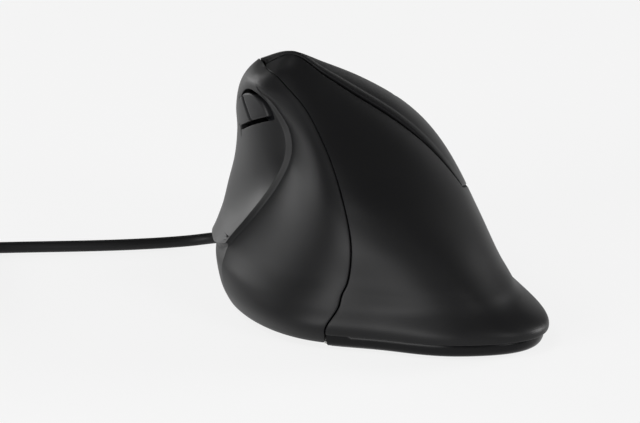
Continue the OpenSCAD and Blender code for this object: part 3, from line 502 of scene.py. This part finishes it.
def evenly(ring, count):
    loop = np.vstack([ring, ring[:1]])
    reach = np.concatenate([[0], np.cumsum(np.linalg.norm(np.diff(loop, axis=0), axis=1))])
    at = np.linspace(0, reach[-1], count, endpoint=False)
    return np.stack([np.interp(at, reach, loop[:, k]) for k in (0, 1)], axis=1)


def drawnIn(ring, d):
    way = np.roll(ring, -1, axis=0) - np.roll(ring, 1, axis=0)
    normal = np.stack([way[:, 1], -way[:, 0]], axis=1) / np.linalg.norm(way, axis=1)[:, None]
    middle = ring.mean(axis=0)
    if np.sum(normal * (ring - middle)) < 0:
        normal = -normal
    return ring - normal * d


def addSideButton(name, s, rear, tree):
    ring = evenly(halfOutline(s, rear), s["points"])
    middle = ring.mean(axis=0)

    def onSkin(p, out):
        start, way = fromLeft(p)
        hit = tree.ray_cast(start, way)[0]
        return np.array((hit[0] / mm - out, p[0], p[1]))

    loops = [[onSkin(p, s["proud"] - s["depth"]) for p in drawnIn(ring, s["taper"])]]
    for d, low in s["rounds"]:
        loops.append([onSkin(p, s["proud"] + low) for p in drawnIn(ring, d)])
    inner = drawnIn(ring, s["rounds"][-1][0])
    for k in s["rings"]:
        loops.append([onSkin(middle + (p - middle) * k, s["proud"]) for p in inner])
    n = len(ring)
    faces = [(i * n + j, i * n + (j + 1) % n, (i + 1) * n + (j + 1) % n, (i + 1) * n + j)
             for i in range(len(loops) - 1) for j in range(n)]
    verts = [p for loop in loops for p in loop] + [onSkin(middle, s["proud"])]
    faces += [((len(loops) - 1) * n + j, (len(loops) - 1) * n + (j + 1) % n, len(verts) - 1) for j in range(n)]
    faces.append(tuple(range(n))[::-1])
    obj = skinObject(name, verts, faces)
    makeActive(obj)
    bpy.ops.object.mode_set(mode="EDIT")
    bpy.ops.mesh.select_all(action="SELECT")
    bpy.ops.mesh.normals_make_consistent(inside=False)
    bpy.ops.object.mode_set(mode="OBJECT")
    smoothTo(obj, smoothSetup["button"])
    return obj


# palm shell: from the rear seam round the right to the front seam, under the keys' edge
palmSetup = {
    "crown": [(-10, 0), (-30, 1), (-45, 2), (-43, 3), (-39, 4), (-36, 5), (-32, 6.2)],
    "lower": [(-32, 6.2), (-14, 6.6), (5, 6.8), (25, 6.9), (45, 6.9)],
    "lip": [(45, 6.9), (62, 6.6), (80, 6.0), (96, 5.5), (110, 5.2)],
    "crownTurns": (-100, 64, 48), "lowerTurns": (-36, 84, 36), "lipTurns": (48, 62, 30), "rows": 60, "seamRibs": 18,
    "ribFade": 6,
}
crownEdge, lowerEdge, lipEdge = [np.array(palmSetup[k], float) for k in ("crown", "lower", "lip")]


def edgeAt(rows, t):
    return along(rows, t * (len(rows) - 1))


def edgePoint(rows, t):
    p = edgeAt(rows, t)
    return skin(p[1], p[0])


def addPalmShell(s):
    low, rows = bodySetup["palmLow"], s["rows"]
    ribs = []
    for edge, (start, run, count) in ((crownEdge, s["crownTurns"]), (lowerEdge, s["lowerTurns"]),
                                      (lipEdge, s["lipTurns"])):
        last = count + 1 if edge is lipEdge else count
        ribs += [(edgeAt(edge, i / count), start + run * i / count) for i in range(last)]

    def ribTurn(rib, u):
        return rib[1] + (rib[0][0] - rib[1]) * (1 - u) ** s["ribFade"]

    cols = []
    for i in range(s["seamRibs"]):
        col = []
        for k in range(rows + 1):
            v = low * k / rows
            seam = along(loopRows, v)[11] - 360
            col.append(skin(v, seam + (ribTurn(ribs[0], k / rows) - seam) * i / s["seamRibs"]))
        cols.append(col)
    for rib in ribs:
        cols.append([skin(rib[0][1] + (low - rib[0][1]) * k / rows, ribTurn(rib, k / rows)) for k in range(rows + 1)])
    for a, b in ((0, 1), (-1, -2)):  # room for the seams
        cols[a] = [p + unit(q - p) * min(bodySetup["seamGap"], bodySetup["seamShare"] * np.linalg.norm(q - p))
                   for p, q in zip(cols[a], cols[b])]
    return gridObject("palmShell", cols)


# a fixed plate, the keys and the bridge between them lie on one curved deck
deckSetup = {
    "rise": 6.5, "out": (0.62, 0.12, 0.78), "cornerRun": 0.06, "plateRear": 0.012, "plateFront": 0.3, "keyRear": 0.31,
    "keyFront": 0.955, "bridgeFrom": 0.42, "bridgeTo": 0.62, "bridgeFront": 0.985, "gap": 0.01, "wheelAt": 0.64,
    "wheelStep": 0.1, "wheelSlot": (11.304, 4.2), "stemLow": -6.75, "stemRadius": 1.3,
    "leftStem": (-11.7524, 4.83854, -2.4), "rightStem": (13.2244, 4.47148, -2.56), "riseBend": (1.4, 0.8),
    "castFrom": 30,
    # outer sides of the panels, as a start and a lean along the deck, and their mesh
    "plateLeft": (0.006, 0.01), "plateRight": (0.994, -0.012), "keyLeft": (0.006, 0.034), "keyRight": (0.994, -0.056),
    "plateGrid": (84, 28), "keyGrid": (40, 44), "bridgeGrid": (28, 60),
}
deckOut = unit(np.array(deckSetup["out"]))
deckCorners = [edgePoint(crownEdge, 0), edgePoint(crownEdge, 1), edgePoint(lipEdge, 1), edgePoint(lipEdge, 0)]


def leftEdge(t):
    front = bodySetup["frontSeam"]
    return skin(lipEdge[4][1] * t, front - (front - crownEdge[0][0]) * max(0, 1 - t / deckSetup["cornerRun"]))


def deck(w, t):
    p, k, r, q = deckCorners
    flat = (edgePoint(crownEdge, w) * (1 - t) + edgePoint(lipEdge, 1 - w) * t
            + leftEdge(t) * (1 - w) + edgePoint(lowerEdge, t) * w
            - p * (1 - w) * (1 - t) - k * w * (1 - t) - r * (1 - w) * t - q * w * t)
    bendW, bendT = deckSetup["riseBend"]
    return flat + deckOut * deckSetup["rise"] * math.sin(math.pi * w ** bendW) * math.sin(math.pi * t ** bendT)


deckMiddle = (deckSetup["bridgeFrom"] + deckSetup["bridgeTo"]) / 2
wheelAt, wheelStep = deckSetup["wheelAt"], deckSetup["wheelStep"]
deckOrigin = deck(deckMiddle, wheelAt)
deckX = unit(deck(deckSetup["bridgeTo"], wheelAt) - deck(deckSetup["bridgeFrom"], wheelAt))
deckZ = unit(np.cross(deckX, deck(deckMiddle, wheelAt + wheelStep) - deck(deckMiddle, wheelAt - wheelStep)))
deckY = np.cross(deckZ, deckX)


def onDeck(x, y, z):
    return deckOrigin + deckX * x + deckY * y + deckZ * z


def side(start, lean=0):
    return lambda t: start + lean * t


def addDeckPanel(name, fromW, toW, rear, front, grid):
    across, count = grid
    rows = []
    for i in range(across + 1):
        row = []
        for k in range(count + 1):
            t = rear + (front - rear) * k / count
            row.append(deck(fromW(t) + (toW(t) - fromW(t)) * i / across, t))
        rows.append(row)
    return gridObject(name, rows)


def deckPlane(co):
    d = np.array(co) / mm - deckOrigin
    return np.array((d @ deckX, d @ deckY))


def fromDeck(p):
    return vec(onDeck(p[0], p[1], deckSetup["castFrom"]) * mm), vec(-deckZ)


def stadium(half, r, steps=14):
    out = []
    for end, base in ((1, 0), (-1, math.pi)):
        for i in range(steps + 1):
            a = base + math.pi * i / steps
            out.append((r * math.cos(a), end * (half - r) + r * math.sin(a)))
    return out


# base: the CAD tray and feet with the flat rear, and a smooth band round the tray under the shells
baseSetup = {
    "row": 12.1, "coverInset": 2.1, "centre": (0, -4), "room": 0.5, "turns": 120, "sides": 70, "tuck": 1.2,
    "tuckFrom": 0.8, "fade": 3, "weld": 0.001,
    "profile": [(4.1, 1.6), (4.1, 0.5), (4.0, 0.38), (3.0, 0.38), (2.3, 0.5), (1.7, 0.8), (1.25, 1.2), (0.95, 1.7),
                (0.8, 2.3), (0.8, 3.2)],
}


def drawnForward(name, node, tuck):
    mesh = frame["nodes"][node].data.copy()
    mesh.materials.clear()
    obj = bpy.data.objects.new(name, mesh)
    bpy.context.scene.collection.objects.link(obj)
    r = along(loopRows, baseSetup["row"])
    mx, my = bodySetup["middle"]
    for v in mesh.vertices:
        x, y = v.co[0] / mm + mx, v.co[1] / mm + my
        dx = (x - r[6]) / ((r[3] - r[6]) if x > r[6] else (r[6] - r[2]))
        dy = (y - r[7]) / ((r[5] - r[7]) if y > r[7] else (r[7] - r[4]))
        far = math.hypot(dx, dy)
        v.co[1] += flattening(r, x) * rearShare(dy / max(far, 0.01)) * min(1, far) ** baseSetup["fade"] * mm
        if far > baseSetup["tuckFrom"]:
            v.co[0] -= tuck * mm * dx / far
            v.co[1] -= tuck * mm * dy / far
    makeActive(obj)
    bpy.ops.object.mode_set(mode="EDIT")
    bpy.ops.mesh.select_all(action="SELECT")
    bpy.ops.mesh.remove_doubles(threshold=baseSetup["weld"] * mm)
    bpy.ops.object.mode_set(mode="OBJECT")
    smoothTo(obj, smoothSetup["tray"])
    return obj


def addTray(s):
    start, end = along(loopRows, s["row"])[11] - 360 + s["room"], bodySetup["frontSeam"] - s["room"]
    line = [(skin(s["row"], start + (end - start) * i / s["turns"]), 0) for i in range(s["turns"] + 1)]
    line += [(thumbSkin(bodySetup["thumbLow"], 3 - 3 * i / s["sides"]), s["coverInset"]) for i in range(s["sides"] + 1)]
    line.append(line[0])
    centre = np.array(s["centre"])
    rows = []
    for z, inset in s["profile"]:
        row = []
        for p, more in line:
            out = p[:2] - centre
            row.append(np.append(centre + out * (1 - (inset + more) / np.linalg.norm(out)), z))
        rows.append(row)
    band = gridObject("trayBand", rows)
    smoothTo(band, smoothSetup["band"])
    tray = drawnForward("baseTray", "base_tray", s["tuck"])
    makeActive(tray)
    band.select_set(True)
    bpy.ops.object.join()
    return tray


def addStem(obj, at):
    addPeg(obj, onDeck(*at), onDeck(at[0], at[1], deckSetup["stemLow"]), deckSetup["stemRadius"])


# inside the thumb cover: posts of the side buttons' board, and the hole that the cable leaves by
coverSetup = {
    "posts": [((-24.9, 4, 43.5), (-19.2, 4, 43.5)), ((-27.7, 17, 40.5), (-19.2, 17, 40.5))], "postRadius": 2.3,
    "postBore": 1.05, "postDeep": 4, "exit": (-20.3205, 44.2715, 6.5), "exitWay": (-0.5887, 0.7812, -0.2079),
    "exitRadius": 2.45, "exitReach": 6, "castFrom": 12,
}
exitAt, exitWay = np.array(coverSetup["exit"]), unit(np.array(coverSetup["exitWay"]))
exitSide = unit(np.cross(exitWay, (0, 0, 1)))
exitUp = np.cross(exitSide, exitWay)


def exitPlane(co):
    d = np.array(co) / mm - exitAt
    return np.array((d @ exitSide, d @ exitUp)) if np.linalg.norm(d) < coverSetup["exitReach"] else None


def fromExit(p):
    return vec((exitAt + exitWay * coverSetup["castFrom"] + exitSide * p[0] + exitUp * p[1]) * mm), vec(-exitWay)


palmShell = addPalmShell(palmSetup)
finishShell(palmShell, bodySetup)
standsFor(palmShell, "case", "shell", "palm_shell")
baseTray = addTray(baseSetup)
standsFor(baseTray, "case", "base", "base_tray")
feet = drawnForward("feetPads", "feet", 0)
standsFor(feet, "case", "foot", "feet")

thumbCover = addThumbCover(bodySetup)
coverTree = treeOf(thumbCover)
openHole(thumbCover, [pocketPoint(pocketSetup, *p) for p in pocketLine(pocketSetup, 0)], sidePlane, fromLeft)
openHole(thumbCover, stadium(coverSetup["exitRadius"], coverSetup["exitRadius"]), exitPlane, fromExit)
finishShell(thumbCover, bodySetup)
for foot, head in coverSetup["posts"]:
    addPeg(thumbCover, foot, head, coverSetup["postRadius"], coverSetup["postBore"], coverSetup["postDeep"])
standsFor(thumbCover, "case", "shell", "thumb_cover")
print("shells made")

backKey = addSideButton("backKey", pocketSetup, True, coverTree)
standsFor(backKey, "back_key", "button", "back_button")
forwardKey = addSideButton("forwardKey", pocketSetup, False, coverTree)
standsFor(forwardKey, "forward_key", "button", "forward_button")

keyPlate = addDeckPanel("keyPlate", side(*deckSetup["plateLeft"]), side(*deckSetup["plateRight"]),
                        deckSetup["plateRear"], deckSetup["plateFront"], deckSetup["plateGrid"])
finishShell(keyPlate, bodySetup)
standsFor(keyPlate, "case", "shell", "key_plate")
leftKey = addDeckPanel("leftKey", side(*deckSetup["keyLeft"]), side(deckSetup["bridgeFrom"] - deckSetup["gap"]),
                       deckSetup["keyRear"], deckSetup["keyFront"], deckSetup["keyGrid"])
finishShell(leftKey, bodySetup)
addStem(leftKey, deckSetup["leftStem"])
standsFor(leftKey, "left_key", "key", "left_button")
rightKey = addDeckPanel("rightKey", side(deckSetup["bridgeTo"] + deckSetup["gap"]), side(*deckSetup["keyRight"]),
                        deckSetup["keyRear"], deckSetup["keyFront"], deckSetup["keyGrid"])
finishShell(rightKey, bodySetup)
addStem(rightKey, deckSetup["rightStem"])
standsFor(rightKey, "right_key", "key", "right_button")
keyBridge = addDeckPanel("keyBridge", side(deckSetup["bridgeFrom"]), side(deckSetup["bridgeTo"]),
                         deckSetup["keyRear"], deckSetup["bridgeFront"], deckSetup["bridgeGrid"])
openHole(keyBridge, stadium(*deckSetup["wheelSlot"]), deckPlane, fromDeck)
finishShell(keyBridge, bodySetup)
standsFor(keyBridge, "case", "bridge", "button_bridge")
print("keys made")


# finishes
class Wire:
    def __init__(self, tree, out=None):
        self.tree, self.out = tree, out

    def node(self, kind, settings, links, out=0):
        made = self.tree.nodes.new(kind)
        for key, value in settings.items():
            setattr(made, key, value)
        for key, value in links.items():
            if isinstance(value, Wire):
                self.tree.links.new(value.out, made.inputs[key])
            else:
                made.inputs[key].default_value = value
        return Wire(self.tree, made.outputs[out] if made.outputs else None)

    def maths(self, operation, a, b):
        return self.node("ShaderNodeMath", {"operation": operation}, {0: a, 1: b})

    def __add__(self, other):
        return self.maths("ADD", self, other)

    def __radd__(self, other):
        return self.maths("ADD", other, self)

    def __sub__(self, other):
        return self.maths("SUBTRACT", self, other)

    def __rsub__(self, other):
        return self.maths("SUBTRACT", other, self)

    def __mul__(self, other):
        return self.maths("MULTIPLY", self, other)

    def __rmul__(self, other):
        return self.maths("MULTIPLY", other, self)


def newMaterial(name):
    mat = bpy.data.materials.new(name)
    mat.use_nodes = True
    mat.node_tree.nodes.clear()
    return mat, Wire(mat.node_tree).node("ShaderNodeTexCoord", {}, {}, out="Object")


def surface(place, sockets):
    shader = place.node("ShaderNodeBsdfPrincipled", {}, sockets)
    place.node("ShaderNodeOutputMaterial", {}, {"Surface": shader})


# how the slow drift and the fine grain share in tone and sheen
grainSetup = {"drift": 55.0, "tone": (0.5, 0.5), "sheen": (1.4, 0.6)}
# colour and roughness with their spread, size and height of the grain in mm, then gloss, coat or metal
finishSetup = {
    "shell": {"colour": (0.0085, 0.0085, 0.009), "spread": 0.10, "rough": 0.45, "roughSpread": 0.05, "grain": 0.22,
              "height": 0.010, "gloss": 0.2},
    "key": {"colour": (0.0085, 0.0085, 0.009), "spread": 0.10, "rough": 0.42, "roughSpread": 0.05, "grain": 0.2,
            "height": 0.008, "gloss": 0.12},
    "bridge": {"colour": (0.006, 0.006, 0.0065), "spread": 0.08, "rough": 0.2, "roughSpread": 0.05, "grain": 1.4,
               "height": 0.004, "coat": 0.3},
    "button": {"colour": (0.013, 0.013, 0.014), "spread": 0.10, "rough": 0.4, "roughSpread": 0.05, "grain": 0.2,
               "height": 0.006, "gloss": 0.2},
    "base": {"colour": (0.007, 0.007, 0.0075), "spread": 0.12, "rough": 0.3, "roughSpread": 0.06, "grain": 0.5,
             "height": 0.008, "gloss": 0.12},
    "tyre": {"colour": (0.014, 0.014, 0.015), "spread": 0.2, "rough": 0.68, "roughSpread": 0.1, "grain": 0.35,
             "height": 0.02},
    "hub": {"colour": (0.26, 0.265, 0.275), "spread": 0.06, "rough": 0.42, "roughSpread": 0.06, "grain": 0.5,
            "height": 0.008},
    "inner": {"colour": (0.026, 0.027, 0.03), "spread": 0.12, "rough": 0.5, "roughSpread": 0.08, "grain": 0.5,
              "height": 0.01},
    "switch_case": {"colour": (0.016, 0.034, 0.068), "spread": 0.08, "rough": 0.36, "roughSpread": 0.06, "grain": 0.4,
                    "height": 0.006},
    "tact_case": {"colour": (0.03, 0.032, 0.037), "spread": 0.08, "rough": 0.4, "roughSpread": 0.06, "grain": 0.4,
                  "height": 0.006},
    "pin": {"colour": (0.68, 0.65, 0.55), "spread": 0.05, "rough": 0.38, "roughSpread": 0.06, "grain": 0.4,
            "height": 0.005},
    "cap": {"colour": (0.26, 0.045, 0.035), "spread": 0.08, "rough": 0.38, "roughSpread": 0.06, "grain": 0.4,
            "height": 0.005},
    "socket": {"colour": (0.69, 0.66, 0.57), "spread": 0.05, "rough": 0.45, "roughSpread": 0.06, "grain": 0.5,
               "height": 0.006},
    "chip": {"colour": (0.012, 0.012, 0.013), "spread": 0.15, "rough": 0.42, "roughSpread": 0.1, "grain": 0.25,
             "height": 0.006},
    "foot": {"colour": (0.74, 0.74, 0.7), "spread": 0.05, "rough": 0.34, "roughSpread": 0.08, "grain": 0.8,
             "height": 0.004},
    "cable": {"colour": (0.0085, 0.0085, 0.009), "spread": 0.15, "rough": 0.46, "roughSpread": 0.08, "grain": 0.4,
              "height": 0.012, "gloss": 0.2},
    "relief": {"colour": (0.0085, 0.0085, 0.009), "spread": 0.15, "rough": 0.5, "roughSpread": 0.08, "grain": 0.35,
               "height": 0.012, "gloss": 0.2},
    "tie": {"colour": (0.018, 0.018, 0.02), "spread": 0.3, "rough": 0.8, "roughSpread": 0.1, "grain": 0.3,
            "height": 0.05},
    "plug": {"colour": (0.009, 0.009, 0.0095), "spread": 0.12, "rough": 0.42, "roughSpread": 0.06, "grain": 0.3,
             "height": 0.01},
    "steel": {"colour": (0.53, 0.54, 0.56), "spread": 0.08, "rough": 0.3, "roughSpread": 0.12, "grain": 0.25,
              "height": 0.003, "metal": 1},
    "screw": {"colour": (0.25, 0.25, 0.26), "spread": 0.15, "rough": 0.36, "roughSpread": 0.12, "grain": 0.2,
              "height": 0.004, "metal": 1},
    "plug_metal": {"colour": (0.62, 0.61, 0.59), "spread": 0.06, "rough": 0.24, "roughSpread": 0.1, "grain": 0.3,
                   "height": 0.003, "metal": 1},
    "contact": {"colour": (0.78, 0.55, 0.2), "spread": 0.08, "rough": 0.24, "roughSpread": 0.1, "grain": 0.3,
                "height": 0.002, "metal": 1},
}


def moulded(name, s):
    # fine grain in the surface, with a slow drift of tone and sheen over it
    mat, place = newMaterial(name)
    drift = place.node("ShaderNodeTexNoise", {}, {"Vector": place, "Scale": grainSetup["drift"], "Detail": 3.0})
    fine = place.node("ShaderNodeTexNoise", {}, {"Vector": place, "Scale": 1 / (s["grain"] * mm), "Detail": 4.0,
                                                 "Roughness": 0.6})
    dark, light = [tuple(c * k for c in s["colour"]) + (1,) for k in (1 - s["spread"], 1 + s["spread"])]
    tone, sheen = [drift * a + fine * b for a, b in (grainSetup["tone"], grainSetup["sheen"])]
    colour = place.node("ShaderNodeMix", {"data_type": "RGBA"}, {0: tone, 6: dark, 7: light}, out=2)
    rough = s["rough"] + (sheen - 1) * s["roughSpread"]
    bump = place.node("ShaderNodeBump", {}, {"Strength": 1.0, "Distance": s["height"] * mm, "Height": fine})
    surface(place, {"Base Color": colour, "Roughness": rough, "Normal": bump, "Metallic": s.get("metal", 0),
                    "Coat Weight": s.get("coat", 0), "Specular IOR Level": s.get("gloss", 0.5)})
    return mat


boardSetup = {
    "mask": (0.012, 0.075, 0.035), "track": (0.03, 0.16, 0.075), "pitch": 2.4, "rough": 0.34, "fine": 0.1,
    "height": 0.04,
}


def boardFinish(name, s):
    # green lacquer with raised tracks under it
    mat, place = newMaterial(name)
    brick = place.node("ShaderNodeTexBrick", {"offset": 0.37, "squash": 0.6, "squash_frequency": 3},
                       {"Vector": place, "Scale": 1 / (s["pitch"] * mm), "Mortar Size": 0.09, "Mortar Smooth": 0.3,
                        "Brick Width": 1.9, "Row Height": 0.5}, out=1)
    fine = place.node("ShaderNodeTexNoise", {}, {"Vector": place, "Scale": 2400.0, "Detail": 3.0})
    colour = place.node("ShaderNodeMix", {"data_type": "RGBA"}, {0: brick, 6: (*s["mask"], 1), 7: (*s["track"], 1)},
                        out=2)
    bump = place.node("ShaderNodeBump", {}, {"Strength": 0.6, "Distance": s["height"] * mm,
                                             "Height": brick + fine * s["fine"]})
    surface(place, {"Base Color": colour, "Roughness": s["rough"] + fine * s["fine"], "Normal": bump})
    return mat


# the ribbon's second colour is painted shade, laid in the grooves between the cores
ribbonSetup = {
    "colour": (0.42, 0.43, 0.45), "paintedGrooveShade": (0.2, 0.2, 0.21), "cores": 1.0, "wavesPerUnit": 6.4, "rough": 0.52,
    "roughSpread": 0.12, "height": 0.1,
}


def ribbonFinish(name, s):
    # flat ribbon: one ridge for each core, with painted shade darkening the grooves between the ridges
    mat, place = newMaterial(name)
    wave = place.node("ShaderNodeTexWave", {"bands_direction": "X"},
                      {"Vector": place, "Scale": 1 / (s["cores"] * mm) / s["wavesPerUnit"], "Distortion": 0.0})
    colour = place.node("ShaderNodeMix", {"data_type": "RGBA"}, {0: wave, 6: (*s["paintedGrooveShade"], 1), 7: (*s["colour"], 1)},
                        out=2)
    bump = place.node("ShaderNodeBump", {}, {"Strength": 0.8, "Distance": s["height"] * mm, "Height": wave})
    surface(place, {"Base Color": colour, "Roughness": s["rough"] - wave * s["roughSpread"], "Normal": bump})
    return mat


lensSetup = {"colour": (0.86, 0.93, 0.97), "rough": 0.06, "roughSpread": 0.08}


def lensFinish(name, s):
    mat, place = newMaterial(name)
    fine = place.node("ShaderNodeTexNoise", {}, {"Vector": place, "Scale": 300.0, "Detail": 2.0})
    surface(place, {"Base Color": (*s["colour"], 1), "Transmission Weight": 0.92, "IOR": 1.49,
                    "Roughness": s["rough"] + fine * s["roughSpread"]})
    return mat


finishes = {name: moulded(name + "Finish", s) for name, s in finishSetup.items()}
finishes["board"] = boardFinish("boardFinish", boardSetup)
finishes["ribbon"] = ribbonFinish("ribbonFinish", ribbonSetup)
finishes["lens"] = lensFinish("lensFinish", lensSetup)


def dress(obj, slot):
    obj.data.materials.clear()
    obj.data.materials.append(finishes[slot])


for part in frame["record"]["subparts"]:
    dress(frame["nodes"][part["node"]], part["material_slot"])
for obj, slot in drawn:
    dress(obj, slot)
print("finishes:", len(finishes))


# white table and soft boxes: turn and lift in degrees as seen from the object, size in metres, power in watts
lightSetup = {
    "floor": 0.9, "floorShow": 0.82, "floorSize": 30, "floorLow": -0.0002, "world": 0.04, "reach": 1.2,
    "middle": (0, 0, 0.03),
    "lamps": {
        "frontLeft": {"turn": 212, "lift": 12, "size": (0.5, 0.36), "power": 3.2},
        "farLeft": {"turn": 240, "lift": 13, "size": (0.36, 0.36), "power": 1},
        "left": {"turn": 312, "lift": 12, "size": (0.84, 0.36), "power": 9},
        "topLeft": {"turn": 315, "lift": 52, "size": (0.36, 0.36), "power": 2},
        "frontTop": {"turn": 180, "lift": 52, "size": (0.36, 0.36), "power": 0.5},
        "rearRight": {"turn": 30, "lift": 20, "size": (0.36, 0.36), "power": 3},
        "right": {"turn": 95, "lift": 12, "size": (0.6, 0.36), "power": 9},
        "frontRight": {"turn": 150, "lift": 10, "size": (0.36, 0.3), "power": 0.3},
    },
}


def addLamp(name, s, middle, reach):
    a, e = math.radians(s["turn"]), math.radians(s["lift"])
    way = Vector((math.sin(a) * math.cos(e), -math.cos(a) * math.cos(e), math.sin(e)))
    bpy.ops.object.light_add(type="AREA", location=Vector(middle) + way * reach)
    lamp = bpy.context.object
    lamp.name = name + "Lamp"
    lamp.data.shape = "RECTANGLE"
    lamp.data.size, lamp.data.size_y = s["size"]
    lamp.data.energy = s["power"]
    lamp.rotation_euler = (-way).to_track_quat("-Z", "Y").to_euler()


def addTable(s):
    bpy.ops.mesh.primitive_plane_add(size=s["floorSize"], location=(0, 0, s["floorLow"]))
    table = bpy.context.object
    table.name = "tableTop"
    mat, place = newMaterial("whiteTable")
    matt = place.node("ShaderNodeBsdfPrincipled", {}, {"Base Color": (s["floor"], s["floor"], s["floor"], 1),
                                                       "Roughness": 0.9, "Specular IOR Level": 0.1})
    seen = [place.node("ShaderNodeLightPath", {}, {}, out=ray)
            for ray in ("Is Camera Ray", "Is Glossy Ray", "Is Transmission Ray")]
    show = place.maths("MINIMUM", seen[0] + seen[1] + seen[2], 1.0) * s["floorShow"]
    white = place.node("ShaderNodeEmission", {}, {"Strength": 1.0})
    mix = place.node("ShaderNodeMixShader", {}, {0: show, 1: matt, 2: white})
    place.node("ShaderNodeOutputMaterial", {}, {"Surface": mix})
    table.data.materials.append(mat)


deselectAll()
for name, lamp in lightSetup["lamps"].items():
    addLamp(name, lamp, lightSetup["middle"], lightSetup["reach"])
addTable(lightSetup)
world = bpy.data.worlds.new("studio")
bpy.context.scene.world = world
world.use_nodes = True
world.node_tree.nodes["Background"].inputs["Color"].default_value = (1, 1, 1, 1)
world.node_tree.nodes["Background"].inputs["Strength"].default_value = lightSetup["world"]
bpy.context.scene.view_settings.view_transform = "Standard"
print("light set")

bpy.context.view_layer.update()
